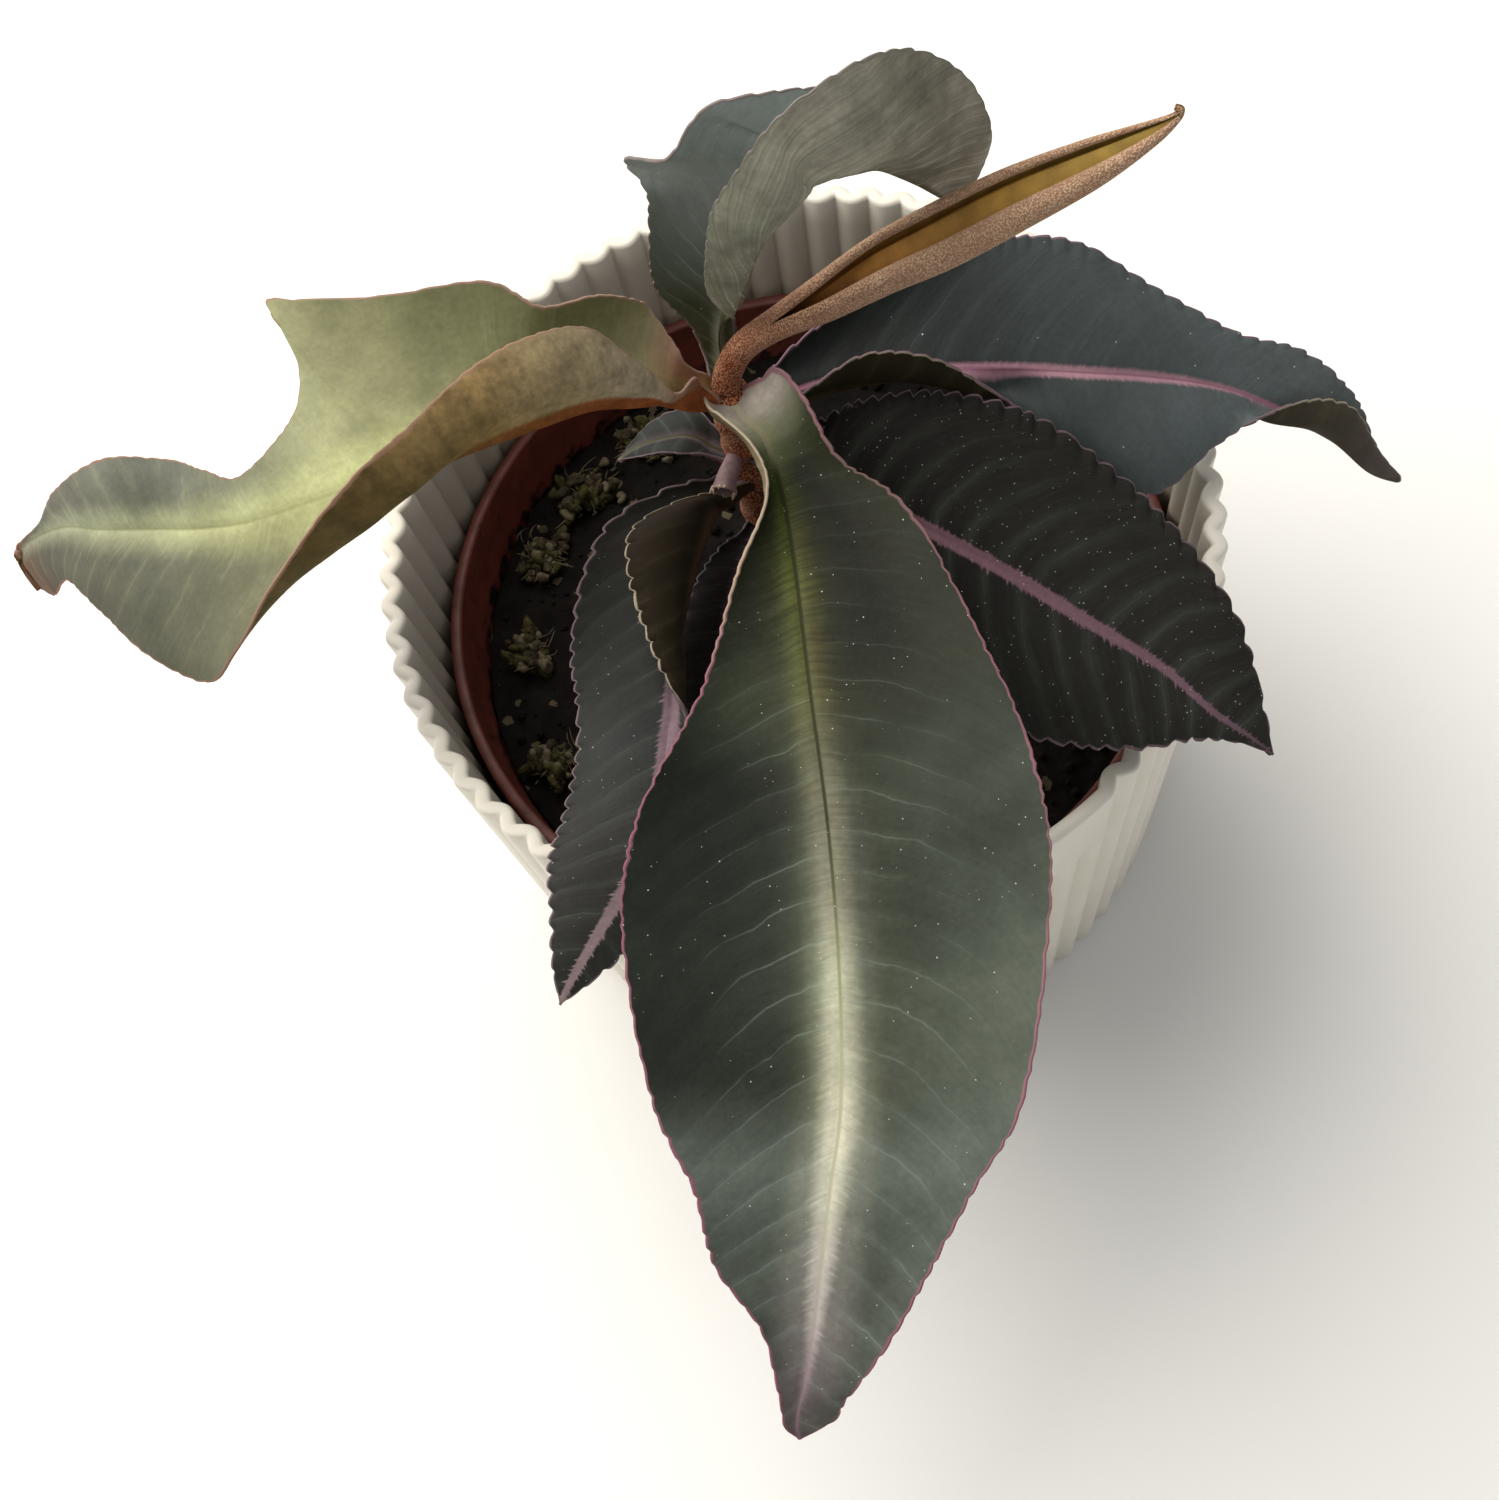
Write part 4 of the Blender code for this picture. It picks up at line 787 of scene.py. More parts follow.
def makeLeaf(name, materials):
    sections, form = leafShapes[name], leafForms[name]
    midribs = [Vector(section[0]) for section in sections]
    margins = [[Vector(section[side if len(section) > 1 else 0]) for section in sections] for side in (1, 2)]
    bows = [[Vector((section[side] if len(section) > 1 else 0, 0, 0)) for section in sections]
            for side in (3, 4)]
    seed = Vector((sum(map(ord, name)) * 0.37, 0, 0))
    rows, columns, pitch = form["rows"], form["columns"], form["veinPitch"]

    # places along the midrib, and how far along it each one is
    stations, run = [], 0.0
    for row in range(rows + 1):
        along = row / rows
        middle = curveThrough(midribs, along)
        ahead = curveThrough(midribs, min(along + 0.002, 1)) - curveThrough(midribs, max(along - 0.002, 0))
        run += (middle - stations[-1]["middle"]).length if stations else 0.0
        halves = []
        for side in (0, 1):
            reach = curveThrough(margins[side], along) - middle
            up = ahead.cross(reach) if side == 0 else reach.cross(ahead)
            if up.length < 1e-6:
                up = stations[-1]["halves"][side]["up"].copy()
            width = max(reach.length, 1e-4)
            out = reach / width if reach.length > 0.05 else stations[-1]["halves"][side]["out"]
            halves.append({"out": out, "width": max(width, blade["tipWidth"]), "up": up.normalized(),
                           "bow": curveThrough(bows[side], along).x})
        stations.append({"middle": middle, "run": run, "halves": halves})

    leaf = bmesh.new()
    bmesh.ops.create_grid(leaf, x_segments=columns, y_segments=rows, size=1.0)
    place = leaf.verts.layers.float_vector.new("blade")
    share = leaf.verts.layers.float_vector.new("share")
    weight = leaf.verts.layers.deform.verify()
    for vert in leaf.verts:
        # columns crowd towards the midrib and the margins, where the detail is
        x = abs(vert.co.x)
        across = x - blade["crowding"] * math.sin(math.tau * x) / math.tau
        side = 0 if vert.co.x < 0 else 1
        along = (vert.co.y + 1) / 2
        station = stations[round(along * rows)]
        half = station["halves"][side]
        run, width = station["run"], half["width"]
        away = across * width
        edge = smoothStep(blade["marginFrom"], 1.0, across)
        # the teeth are uneven in pitch and depth, and shallow where the leaf is narrow
        uneven = run
        for index, (drift, pace) in enumerate(blade["toothDrift"]):
            uneven += drift * noise.noise(seed + Vector((run * pace, side * 7.0, index * 20.0)))
        swell = toothSwell(uneven, form["toothPitch"])
        taper = 1 + blade["toothUneven"] * noise.noise(seed + Vector((run * 0.3, side * 7.0, 40.0)))
        taper *= min(1.0, width / blade["fullWidth"])
        reach = away - form["toothDepth"] * (1 - swell) * edge * taper
        shake = blade["veinShake"] * noise.noise(seed + Vector((run * 0.12, away * 0.13 + side * 9.0, 9.0)))
        shake += blade["veinJitter"] * noise.noise(seed + Vector((run * 0.5, away * 0.6, 4.0)))
        sweep = form["veinSweep"][0]
        sweep += (form["veinSweep"][1] - form["veinSweep"][0]) * run / stations[-1]["run"]
        veinRun = run - sweep * away - form["veinCurl"] * away ** 2 + shake * smoothStep(0, 4, away)
        veinRun += side * blade["sideShift"] * pitch
        vein = abs((veinRun / pitch + 0.5) % 1.0 - 0.5) * pitch
        fade = smoothStep(*blade["veinFade"], away) * (1 - blade["veinThins"] * across)
        fade *= taper * form.get("relief", 1.0)
        lift = half["bow"] * 4 * across * (1 - across)
        lift += form["wave"] * taper * across ** 2 * noise.noise(seed + Vector((run * 0.09, side * 5.0, 3.0)))
        lift += form["crimp"] * (swell - 0.5) * edge * taper
        lift -= fade * (blade["veinSink"] * math.exp(-(vein / blade["veinWidth"]) ** 2)
                        + blade["quilt"] * math.cos(math.tau * veinRun / pitch))
        lift -= blade["grooveDepth"] * math.exp(-(away / blade["grooveHalf"]) ** 2) * (1 - along)
        spot = station["middle"] + half["out"] * reach + half["up"] * lift
        vert[place] = (reach if side else -reach, run, width * (1 - across))
        vert[share] = (across if side else -across, run / stations[-1]["run"], veinRun)
        ridge = math.exp(-(away / blade["midribHalf"]) ** 2) * (1 - blade["midribThins"] * along)
        depth = blade["thickness"] + (blade["midribDepth"] - blade["thickness"]) * ridge
        vert[weight][0] = depth / blade["midribDepth"]
        vert.co = spot * mm
    # the petiole runs into the stem
    root = Vector(stemFoot).lerp(Vector(stemTop), (midribs[0].z - stemFoot[2]) / (stemTop[2] - stemFoot[2]))
    pull = (root - midribs[0]).normalized() * blade["rootPull"] * mm
    for vert in leaf.verts:
        vert.co += pull * (1 - smoothStep(0.0, blade["rootReach"], vert[place].y))
    piece = addPiece(name + "_blade", leaf, materials, [name])
    thicken(piece, blade["midribDepth"])


# Living leaf: a waxy skin over green tissue, so a soft satin gloss, some light through the blade, and
# colour that follows the veins. Lengths are millimetres measured on the blade from its midrib.
def bladeMaterial(name, look, pitch):
    made, node = newMaterial(name)
    spot, share = (node("SeparateXYZ", {0: node("Attribute", attribute_name=layer).outputs["Vector"]})
                   for layer in ("blade", "share"))
    reach = node("Math", {0: spot.outputs[0]}, operation="ABSOLUTE")
    edge, along, lines = spot.outputs[2], share.outputs[1], share.outputs[2]
    inside = node("TexCoord").outputs["Object"]
    blotches = node("TexNoise", {"Vector": inside, "Scale": 1000 / look["mottleSize"], "Detail": 5.0,
                                 "Roughness": 0.62})
    grain = node("TexNoise", {"Vector": inside, "Scale": 1000 / look["grainSize"], "Detail": 2.0,
                              "Roughness": 0.6})
    # threads and ripples are noise stretched along the veins, so they stay fine across them
    stretched = []
    for fine, long in (look["threadScale"], look["rippleScale"]):
        at = node("CombineXYZ", {
            0: node("Math", {0: lines, 1: fine}, operation="MULTIPLY"),
            1: node("Math", {0: spot.outputs[0], 1: long}, operation="MULTIPLY")})
        stretched.append(node("TexNoise", {"Vector": at, "Scale": 1.0, "Detail": 2.0, "Roughness": 0.55}))
    thread, ripple = stretched
    # pale dust and gland dots, finer on the real leaf than they can be drawn
    dots = node("TexVoronoi", {"Vector": inside, "Scale": 1000 / look["speckPitch"]}, feature="F1")
    chosen = node("SeparateXYZ", {0: dots.outputs["Color"]}).outputs[0]

    # straight changes: what each one follows, between which values, and what it gives there
    level = {}
    for key, follows, start, end, first, last in (
            ("across", share.outputs[0], -1.0, 1.0, 0.0, 1.0),
            ("spurs", thread, 0.5, 0.72, 0.0, look["spur"]),
            ("crisp", along, 0.78, 0.95, 1.0, 2.4), ("waver", blotches, 0.35, 0.65, 1.5, 0.7),
            ("footRim", along, 0.02, 0.22, look["footRim"], 1.0),
            ("veinGrowth", along, look["veinFrom"], look["veinFrom"] + 0.25, 0.15, 1.0),
            ("speckSize", chosen, 0.5, 1.0, 0.0, look["speckSize"] / look["speckPitch"]),
            ("mottle", blotches, 0.35, 0.65, 1 - look["mottle"], 1.0),
            ("streak", ripple, 0.35, 0.62, 1 - look["streak"], 1.0),
            ("grain", grain, 0.3, 0.7, 1 - look["grainShow"], 1.0),
            ("combFade", along, look["paintedShadeEnd"], 0.25, 0.0, 1.0), ("combDip", ripple, 0.56, 0.4, 0.0, 1.0),
            ("gloss", grain, 0.3, 0.7, look["rough"] - 0.06, look["rough"] + 0.06)):
        level[key] = node("MapRange", {"Value": follows, "From Min": start, "From Max": end,
                                       "To Min": first, "To Max": last})

    # tones along the leaf, from stem to tip, or across it, from left margin to right; those across are
    # painted shade
    tones = {}
    for key in ("tone", "band", "bandHalf", "groove", "margin", "marginRight", "paintedShade", "paintedShadeLow"):
        follows = level["across"] if key.startswith("paintedShade") else along
        tones[key] = fillRamp(node("ValToRGB", {0: follows}), look[key])

    # the veins' rhythm, the midrib band's border, feathered by the threads, and the margin's uneven one
    phase = node("Math", {0: lines, 1: 1 / pitch}, operation="MULTIPLY")
    phase = node("Math", {0: phase, 1: 0.5}, operation="PINGPONG")
    border = node("Math", {0: tones["bandHalf"], 1: 10.0, 2: level["spurs"]}, operation="MULTIPLY_ADD")
    border = node("Math", {0: reach, 1: border}, operation="SUBTRACT")
    border = node("Math", {0: border, 1: level["crisp"]}, operation="MULTIPLY")
    rim = edge
    for key in ("waver", "footRim"):
        rim = node("Math", {0: rim, 1: level[key]}, operation="MULTIPLY")
    # soft masks: what each one follows, where it begins and where it is full
    masks = {}
    for key, follows, start, end in (
            ("vein", phase, look["veinHalf"] / pitch, 0.0), ("halo", phase, 0.3, 0.0),
            ("patch", blotches, 0.38, 0.6), ("band", border, look["feather"], -look["feather"]),
            ("groove", reach, look["grooveHalf"], look["grooveHalf"] * 0.3),
            ("margin", rim, look["marginHalf"], look["marginHalf"] * 0.45), ("thread", thread, 0.45, 0.75),
            ("near", reach, look["rippleReach"], 1.0), ("away", reach, look["veinReach"], 2.0),
            ("open", along, look["paintedShadeEnd"], look["paintedShadeEnd"] + 0.08),
            ("foot", along, look["paintedShadeStart"] + 0.05, look["paintedShadeStart"]),
            ("turn", along, look["paintedShadeTurn"] - 0.06, look["paintedShadeTurn"] + 0.06)):
        masks[key] = node("MapRange", {"Value": follows, "From Min": start, "From Max": end},
                          interpolation_type="SMOOTHSTEP")
    shown = node("Math", {0: level["veinGrowth"], 1: masks["away"]}, operation="MULTIPLY")
    for key, factor in (("vein", shown), ("halo", shown), ("vein", masks["patch"])):
        masks[key] = node("Math", {0: masks[key], 1: factor}, operation="MULTIPLY")
    masks["speck"] = node("Math", {0: dots.outputs["Distance"], 1: level["speckSize"]},
                          operation="LESS_THAN")

    # light and dark: a comb of fine dark ripples beside the midrib, then mottling, streaks and grain
    comb = node("Math", {0: 1.0, 1: masks["foot"]}, operation="SUBTRACT")
    for factor in (masks["near"], look["comb"], level["combFade"], level["combDip"]):
        comb = node("Math", {0: comb, 1: factor}, operation="MULTIPLY")
    dim = node("Math", {0: 1.0, 1: comb}, operation="SUBTRACT")
    for key in ("mottle", "streak", "grain"):
        dim = node("Math", {0: dim, 1: level[key]}, operation="MULTIPLY")
    rightHalf = node("Math", {0: share.outputs[0], 1: 0.0}, operation="GREATER_THAN")
    rimTone = node("Mix", {0: rightHalf, 6: tones["margin"], 7: tones["marginRight"]}, data_type="RGBA")
    # painted shade multiplied over the blade: one ramp across it before the turn, another after, none before
    # its start or past its end
    side = tones["paintedShade"]
    for key, other in (("turn", tones["paintedShadeLow"]), ("open", "#ffffff"), ("foot", "#ffffff")):
        side = node("Mix", {0: masks[key], 6: side, 7: other}, data_type="RGBA")

    body = tones["tone"]
    for key, colour, strength, kind in (
            ("thread", look["vein"], look["threadShow"], "MIX"),
            ("halo", look["vein"], look["haloShow"], "MIX"),
            ("near", tones["band"], look["nearShow"], "MIX"),
            ("band", tones["band"], look["bandShow"], "MIX"),
            (None, side, 1.0, "MULTIPLY"), (None, dim, 1.0, "MULTIPLY"),
            ("vein", look["vein"], look["veinShow"], "MIX"),
            ("groove", tones["groove"], look["grooveShow"], "MIX"),
            ("margin", rimTone, look["marginShow"], "MIX"),
            ("speck", look["speck"], look["speckShow"], "MIX")):
        part = node("Math", {0: masks[key], 1: strength}, operation="MULTIPLY") if key else strength
        body = node("Mix", {0: part, 6: body, 7: colour}, data_type="RGBA", blend_type=kind)

    # the skin's own grain over a ripple that runs with the veins
    relief = node("Math", {0: ripple, 1: look["rippleDepth"]}, operation="MULTIPLY")
    relief = node("Math", {0: grain, 1: look["grainDepth"], 2: relief}, operation="MULTIPLY_ADD")
    skin = node("Bump", {"Height": relief, "Distance": mm, "Strength": 1.0})
    shine = node("BsdfPrincipled", {"Base Color": body, "Roughness": level["gloss"], "Normal": skin,
                                    "IOR": 1.42, "Specular IOR Level": look["specular"]})
    lit = node("Mix", {0: look["throughTint"], 6: body, 7: look["through"]}, data_type="RGBA")
    through = node("BsdfTranslucent", {"Color": lit, "Normal": skin})
    both = node("MixShader", {0: look["glow"], 1: shine, 2: through})
    node("OutputMaterial", {"Surface": both})
    return made


# What all blades share; each leaf's own look changes some of it. Stops are (share of the way, colour),
# and one colour alone holds all the way. The band's half width is in centimetres, other lengths are
# millimetres, and shows are shares of one.
bladeLook = {
    # the ramps across the blade multiply painted shade over one half or the other; white, as here, paints
    # none
    "tone": "#414a42", "paintedShade": "#ffffff", "paintedShadeLow": "#ffffff", "paintedShadeEnd": 0.9, "paintedShadeStart": -0.1,
    "paintedShadeTurn": 0.4, "grainShow": 0.16, "grainSize": 0.91, "band": [(0, "#8f9a70"), (1, "#b9bf9f")],
    "bandHalf": [(0, 0.2), (1, 0.05)], "bandShow": 1.0, "nearShow": 0.0, "feather": 0.9,
    "mottleSize": 11.1, "spur": 0.8, "groove": [(0, "#3d3f1c"), (1, "#5d6335")], "grooveHalf": 0.35,
    "grooveShow": 0.8, "margin": "#a8647a", "marginRight": "#a8647a", "marginHalf": 0.7,
    "marginShow": 0.9, "footRim": 1.0, "vein": "#8b968c", "veinHalf": 0.35, "veinShow": 0.5,
    "veinFrom": 0.0, "veinReach": 26.0, "haloShow": 0.08, "threadShow": 0.04, "threadScale": (1.9, 0.16),
    "mottle": 0.2, "streak": 0.07, "comb": 0.0, "rippleReach": 8.0, "rippleDepth": 0.05,
    "rippleScale": (1.35, 0.07), "grainDepth": 0.05, "speck": "#cfd0c8", "speckPitch": 1.9,
    "speckSize": 0.15, "speckShow": 0.85, "rough": 0.58, "specular": 0.22, "through": "#9db060",
    "throughTint": 0.5, "glow": 0.15,
}
# the underside is matter, and rusty along its midrib
underLook = {
    **bladeLook,
    "tone": [(0, "#84784e"), (0.4, "#8a8f80"), (1, "#8a8f80")],
    "band": [(0, "#a5512a"), (0.35, "#9c6a44"), (1, "#8f8064")], "bandHalf": [(0, 0.17), (1, 0.05)],
    "feather": 0.5, "mottleSize": 4.17, "spur": 0.2, "grooveShow": 0.0, "margin": "#a5767c",
    "marginRight": "#a5767c", "marginHalf": 0.35, "vein": "#a9ae9f", "veinShow": 0.6, "haloShow": 0.25,
    "speckSize": 0.0, "rough": 0.7, "specular": 0.25,
}
leafLooks = {
    "leaf_front": {
        "slot": "green_blade",
        "upper": {
            # the foot of the blade is painted near white in tone, band and groove: its pale silvery base,
            # brightened as a painted highlight
            "tone": [(0, "#e8dcd0"), (0.03, "#e0d6ca"), (0.055, "#84866f"), (0.08, "#4c5238"),
                     (0.12, "#30351c"), (0.25, "#34372a"), (0.38, "#444a3c"), (0.5, "#525950"),
                     (0.62, "#646c62"), (0.72, "#6a7268"), (0.8, "#626a60"), (0.88, "#5a6056"),
                     (1, "#565c52")],
            # painted shade across the blade: nearer the stem the left half is darkened, nearer the tip the
            # right half
            "paintedShade": [(0, "#e4e2d8"), (0.12, "#ccc9c0"), (0.27, "#908f84"), (0.36, "#a2a094"),
                     (0.42, "#bcb8a8"), (0.47, "#d8d0c4"), (0.5, "#f4f0e0"), (0.53, "#f8ffe4"),
                     (0.6, "#fafcec"), (0.8, "#fafaf0"), (1, "#e8e8e0")],
            "paintedShadeLow": [(0, "#e8e8e2"), (0.25, "#d8d8d0"), (0.4, "#dedccc"), (0.47, "#ffffff"),
                        (0.53, "#ffffff"), (0.56, "#f0f2e2"), (0.59, "#bec0b0"), (0.62, "#a6a799"),
                        (0.66, "#8e8f86"), (0.77, "#7e7f78"), (1, "#7c7c76")],
            "paintedShadeStart": 0.08, "paintedShadeEnd": 0.7,
            "band": [(0, "#c4bcb0"), (0.04, "#9c9c80"), (0.08, "#686c4c"), (0.13, "#4e5a2a"),
                     (0.25, "#686c3c"), (0.35, "#6c6d48"), (0.47, "#84836c"), (0.55, "#b0ae94"),
                     (0.62, "#d6d8ba"), (0.72, "#eceace"), (0.8, "#f4f2da"), (0.87, "#eee6dc"),
                     (0.95, "#b8a0a8"), (1, "#745662")],
            "bandHalf": [(0, 0.1), (0.15, 0.2), (0.35, 0.24), (0.55, 0.2), (0.7, 0.2), (0.86, 0.13),
                         (0.93, 0.05), (1, 0.02)],
            "feather": 1.7, "spur": 0.6, "nearShow": 0.28, "comb": 0.32, "rippleReach": 7.5,
            "rippleDepth": 0.03, "mottle": 0.38, "mottleSize": 16.7, "glow": 0.08, "footRim": 0.4,
            "groove": [(0, "#b8ae98"), (0.05, "#8c8a6c"), (0.12, "#26290e"), (0.48, "#2b2d12"),
                       (0.54, "#55553a"), (0.6, "#96946e"), (0.68, "#bcb996"), (0.8, "#cac6ac"),
                       (0.9, "#b8aca4"), (1, "#75606a")],
            "grooveHalf": 0.34, "grooveShow": 0.9,
            "margin": [(0, "#9c6f78"), (0.06, "#a87884"), (0.15, "#6f5a54"), (0.4, "#94626f"),
                       (0.6, "#a0707c"), (1, "#84505f")],
            "marginRight": [(0, "#ccc4a4"), (0.1, "#c8b8a0"), (0.22, "#b49c88"), (0.34, "#94626f"),
                            (1, "#865063")],
            "marginHalf": 0.45, "vein": "#8f9a90", "veinFrom": 0.3, "veinShow": 0.34, "veinHalf": 0.24,
            "haloShow": 0.14, "speckPitch": 1.0, "speckSize": 0.11},
        "under": {},
    },
    "leaf_left": {
        "slot": "pale_blade",
        "upper": {
            "tone": [(0, "#b47058"), (0.05, "#b89078"), (0.09, "#aca480"), (0.14, "#949268"),
                     (0.25, "#80805c"), (0.36, "#b0b084"), (0.44, "#c8ca9c"), (0.55, "#a0a286"),
                     (0.66, "#828578"), (0.88, "#84847a"), (0.95, "#94705e"), (1, "#b08a78")],
            "band": [(0, "#a9a070"), (0.3, "#c9cf90"), (0.42, "#e4e8ac"), (0.6, "#e4e8b4"),
                     (0.8, "#dfe5c4"), (0.93, "#d6d8c4"), (1, "#b09a90")],
            "bandHalf": [(0, 0.1), (0.2, 0.3), (0.33, 0.6), (0.43, 0.6), (0.52, 0.4), (0.62, 0.26),
                         (0.75, 0.18), (0.9, 0.1), (1, 0.05)],
            "feather": 3.2, "spur": 0.8, "grooveShow": 0.35, "grooveHalf": 0.3,
            "groove": [(0, "#7a7a48"), (1, "#a8ac70")],
            "margin": [(0, "#b09080"), (0.6, "#a07c6c"), (1, "#a5705c")], "marginHalf": 0.35,
            # painted shade: the left half of the blade a little darker
            "glow": 0.22, "paintedShade": [(0, "#c8c6bc"), (0.45, "#e8e6de"), (0.55, "#fffff8"), (1, "#ffffff")],
            "paintedShadeEnd": 1.0, "mottle": 0.3, "through": "#9c9f80", "vein": "#b4b898", "veinShow": 0.22,
            "haloShow": 0.12, "threadShow": 0.13, "streak": 0.05, "speckSize": 0.0},
        "under": {
            # near the stem and at the tip the underside and its margin are painted pale: their tan and
            # pink-brown colour, brightened as painted light where they lie in shade
            "tone": [(0, "#d87448"), (0.04, "#dc9c78"), (0.09, "#f6e2c2"), (0.2, "#f2d8a8"),
                     (0.28, "#caa870"), (0.4, "#8c7144"), (0.55, "#846a42"), (0.7, "#8a6a40"),
                     (0.86, "#c08c6c"), (1, "#ecc0a8")],
            "glow": 0.38, "vein": "#94845a",
            "band": [(0, "#e07a4c"), (0.2, "#c06c3e"), (0.4, "#8a6238"), (0.7, "#85683e"),
                     (1, "#9a6a48")],
            "bandHalf": [(0, 0.34), (0.08, 0.26), (0.16, 0.2), (1, 0.05)], "grainShow": 0.3,
            "margin": [(0, "#c8a890"), (0.4, "#b48c74"), (0.8, "#b07c60"), (1, "#d8a890")],
            "mottle": 0.45, "streak": 0.15, "veinShow": 0.25, "haloShow": 0.08},
    },
    "leaf_back": {
        "slot": "grey_blade",
        "upper": {
            # the blue-grey pales towards the tip: the leaf's own colour, brightened as a painted sheen
            "tone": [(0, "#454a2c"), (0.15, "#454c38"), (0.3, "#69716d"), (0.5, "#a2aaa8"),
                     (0.75, "#b8bfbd"), (1, "#a6acaa")],
            "band": [(0, "#a0a088"), (0.3, "#7d8878"), (1, "#8b9590")],
            "bandHalf": [(0, 0.1), (0.4, 0.05), (1, 0.02)], "margin": "#7a6a68", "marginHalf": 0.3,
            "rough": 0.5, "specular": 0.6, "haloShow": 0.1},
        "under": {
            "tone": [(0, "#b8b090"), (0.2, "#b4b19a"), (0.45, "#bebea8"), (0.6, "#ccc6b4"),
                     (0.72, "#a8a292"), (0.85, "#b8b0a0"), (1, "#b0a89a")],
            "band": [(0, "#b8a890"), (0.2, "#9c9882"), (1, "#8f8874")],
            "margin": [(0, "#a8a494"), (0.5, "#77736a"), (1, "#8a857a")], "vein": "#d4d0c4",
            "veinShow": 0.8, "haloShow": 0.2, "streak": 0.26, "mottle": 0.4, "rippleDepth": 0.2,
            "glow": 0.22, "mottleSize": 6.25},
    },
    "leaf_right_upper": {
        "slot": "blue_green_blade",
        "upper": {
            "tone": [(0, "#141818"), (0.15, "#181c1c"), (0.28, "#2a3030"), (0.42, "#464d4e"),
                     (0.55, "#5a6263"), (0.75, "#6a7273"), (1, "#5c6060")],
            "band": [(0, "#8a5c70"), (0.4, "#c496a4"), (0.6, "#c89ca8"), (0.8, "#a87c8c"),
                     (1, "#6d5560")],
            "bandHalf": [(0, 0.02), (0.25, 0.05), (0.4, 0.09), (0.55, 0.08), (0.7, 0.03), (0.75, 0.0),
                         (1, 0.0)],
            "spur": 0.3, "feather": 0.4, "groove": [(0, "#8a4f6a"), (1, "#9a6078")], "grooveHalf": 0.25,
            "grooveShow": 0.6, "margin": [(0, "#8a6a78"), (1, "#6f5a66")], "vein": "#66706e",
            "veinShow": 0.1, "haloShow": 0.1, "marginHalf": 0.35},
        "under": {
            "tone": [(0, "#2b2414"), (0.3, "#2d2616"), (0.6, "#332c1c"), (0.85, "#4a4438"),
                     (1, "#6a5a58")],
            "margin": [(0, "#9a957c"), (1, "#9a8f80")], "marginHalf": 0.25, "vein": "#4d4632",
            "band": [(0, "#4a3a20"), (1, "#4f4434")]},
    },
    "leaf_right_lower": {
        "slot": "dark_blade",
        "upper": {
            "tone": [(0, "#131010"), (0.3, "#1b1917"), (0.6, "#2a2926"), (1, "#302e2a")],
            "band": [(0, "#7a5c66"), (0.4, "#8e6a76"), (0.7, "#866672"), (1, "#6b5560")],
            "bandHalf": [(0, 0.09), (0.3, 0.11), (0.6, 0.1), (0.9, 0.04), (1, 0.01)], "spur": 0.7,
            "feather": 0.3, "grooveShow": 0.0, "margin": "#6b5a60", "marginHalf": 0.55, "speckPitch": 0.6,
            "speckSize": 0.095, "rough": 0.72, "specular": 0.15, "veinShow": 0.05, "haloShow": 0.06,
            "streak": 0.1, "threadShow": 0.03, "grainDepth": 0.12},
        "under": {
            "tone": "#3a3122", "band": [(0, "#5a3f34"), (1, "#5a4a44")]},
    },
    "leaf_front_left": {
        "slot": "slate_blade",
        "upper": {
            "tone": [(0, "#302f29"), (0.3, "#3a3b38"), (0.55, "#434544"), (0.75, "#403f3c"),
                     (1, "#32322f")],
            "band": [(0, "#8a707c"), (0.6, "#a48a94"), (1, "#b1999b")],
            "bandHalf": [(0, 0.06), (0.6, 0.14), (1, 0.04)], "spur": 0.8, "feather": 0.35,
            "grooveShow": 0.0, "margin": [(0, "#8f7c80"), (1, "#857278")], "marginHalf": 0.45,
            "speckPitch": 0.9, "speckSize": 0.11, "veinShow": 0.08, "haloShow": 0.05},
        "under": {
            "tone": [(0, "#352b1f"), (0.4, "#2d2415"), (0.7, "#352c1d"), (1, "#3a3020")],
            "margin": [(0, "#b8a890"), (0.5, "#d0c2a8"), (1, "#a8988c")], "marginHalf": 0.25,
            "vein": "#4a3f2c", "band": [(0, "#4a3220"), (1, "#4a3a2c")]},
    },
    "leaf_small_front": {
        "slot": "dark_blade",
        "upper": {
            "tone": [(0, "#1c1719"), (1, "#1a1615")], "band": "#6d505e",
            "bandHalf": [(0, 0.08), (1, 0.03)], "margin": "#6d6068", "marginHalf": 0.4, "veinShow": 0.06,
            "haloShow": 0.0},
        "under": {
            "tone": "#3a3122"},
    },
    "leaf_small_left": {
        "slot": "slate_blade",
        "upper": {
            "tone": [(0, "#3d3638"), (0.3, "#373936"), (1, "#303230")], "band": "#7c6f74",
            "bandHalf": [(0, 0.08), (1, 0.02)], "spur": 0.2, "margin": "#857078", "marginHalf": 0.3,
            "veinShow": 0.1, "haloShow": 0.05},
        "under": {
            "tone": "#6a5f56"},
    },
}


def makeLeaves():
    for name, look in leafLooks.items():
        skins = []
        for face, shared in (("upper", bladeLook), ("under", underLook)):
            # where a leaf has one margin or one ramp of painted shade only, it serves for both halves
            twins = {twin: look[face][key] for key, twin in (("margin", "marginRight"), ("paintedShade", "paintedShadeLow"))
                     if key in look[face]}
            skins.append(bladeMaterial(f"{name}_{face}_skin", {**shared, **twins, **look[face]},
                                       leafForms[name]["veinPitch"]))
        makeLeaf(name, skins)
    print("leaves made")


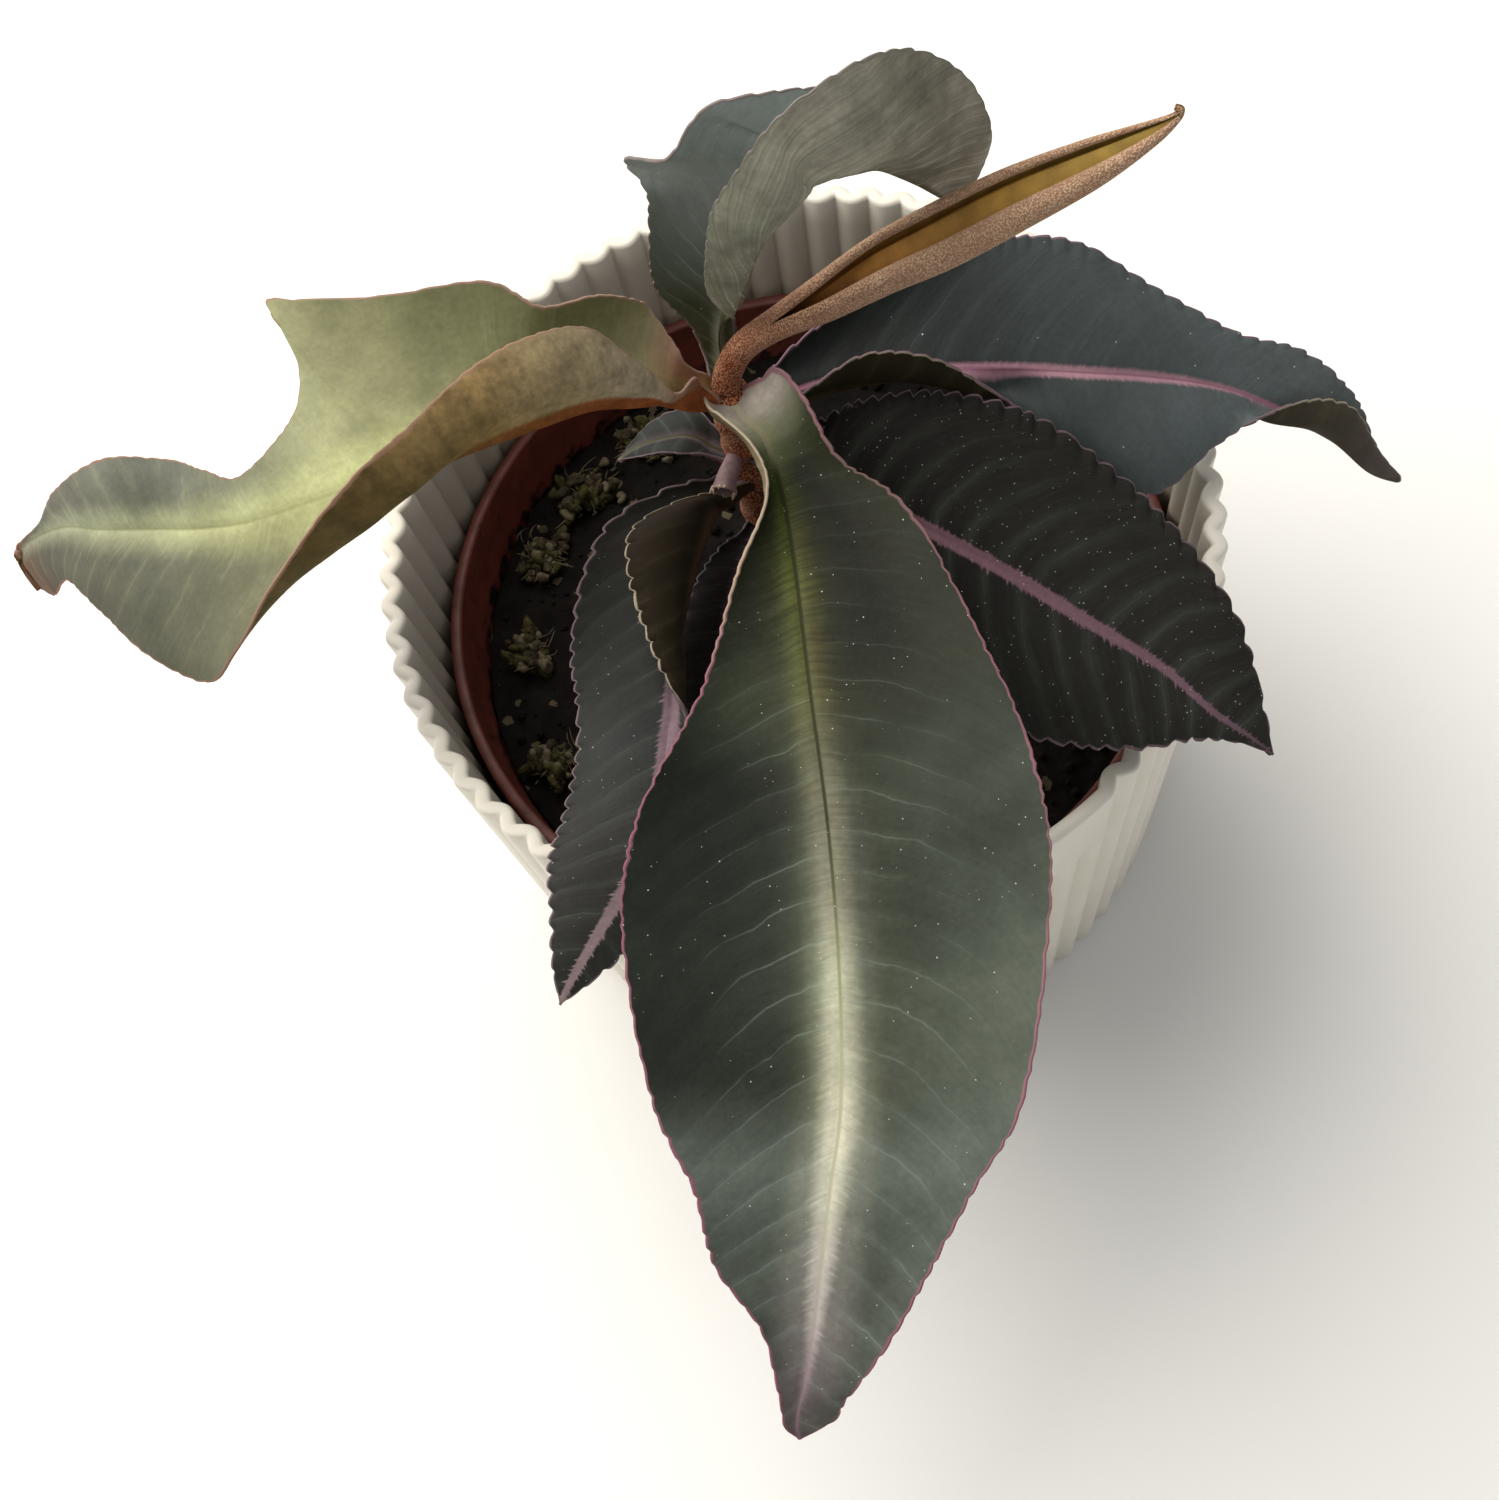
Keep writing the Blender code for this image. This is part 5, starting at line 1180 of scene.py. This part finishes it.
# The stage: a pale floor, soft light from above and behind, and the camera looking down at the pot
stage = {"floor": "#f2f1ee", "floorSize": 6.0, "pulpSize": 1.1, "pulpDepth": 0.05,
         "world": "#ffffff", "worldPower": 0.3, "lampsAim": (0.0, 0.0, 80.0),
         "camera": (0.0, -187.0, 399.0), "lookAt": (-13.0, -37.0, 84.0), "roll": -15.0, "lens": 55.2}
lamps = {
    "key": {"place": (-0.65, 0.6, 1.15), "size": 1.9, "power": 42.0, "colour": "#fffbf4"},
    "fill": {"place": (0.9, -0.7, 0.8), "size": 1.2, "power": 1.5, "colour": "#eaf1ff"},
}


def makeStage():
    ground = bmesh.new()
    bmesh.ops.create_grid(ground, x_segments=1, y_segments=1, size=stage["floorSize"] / 2)
    data = bpy.data.meshes.new("floor")
    ground.to_mesh(data)
    ground.free()
    made, node = newMaterial("matt_paper")
    inside = node("TexCoord").outputs["Object"]
    pulp = node("TexNoise", {"Vector": inside, "Scale": 1000 / stage["pulpSize"], "Detail": 2.0})
    skin = node("Bump", {"Height": pulp, "Distance": stage["pulpDepth"] * mm, "Strength": 0.2})
    paper = node("BsdfPrincipled", {"Base Color": stage["floor"], "Roughness": 0.9, "Normal": skin})
    node("OutputMaterial", {"Surface": paper})
    data.materials.append(made)
    floor = bpy.data.objects.new("floor", data)
    bpy.context.scene.collection.objects.link(floor)

    world = bpy.data.worlds.new("studio")
    bpy.context.scene.world = world
    world.use_nodes = True
    sky = world.node_tree.nodes["Background"]
    sky.inputs["Color"].default_value = hexColour(stage["world"])
    sky.inputs["Strength"].default_value = stage["worldPower"]

    for name, lamp in lamps.items():
        light = bpy.data.lights.new(name, "AREA")
        light.size, light.energy = lamp["size"], lamp["power"]
        light.color = hexColour(lamp["colour"])[:3]
        holder = bpy.data.objects.new(name, light)
        holder.location = lamp["place"]
        aim = Vector(stage["lampsAim"]) * mm - Vector(lamp["place"])
        holder.rotation_euler = aim.to_track_quat("-Z", "Y").to_euler()
        bpy.context.scene.collection.objects.link(holder)

    lens = bpy.data.cameras.new("camera")
    lens.lens, lens.sensor_width = stage["lens"], 36.0
    camera = bpy.data.objects.new("camera", lens)
    camera.location = Vector(stage["camera"]) * mm
    aim = Vector(stage["lookAt"]) - Vector(stage["camera"])
    camera.rotation_mode = "QUATERNION"
    roll = Quaternion((0, 0, 1), math.radians(stage["roll"]))
    camera.rotation_quaternion = aim.to_track_quat("-Z", "Y") @ roll
    bpy.context.scene.collection.objects.link(camera)
    bpy.context.scene.camera = camera
    bpy.context.scene.view_settings.view_transform = "Standard"
    print("stage made")


noise.seed_set(11)
makeOuterPot()
makeNurseryPot()
makeSoil()
makeMoss()
makeStem()
makeLeaves()
makeRolledLeaf()
makeStubAndBuds()
makeStage()
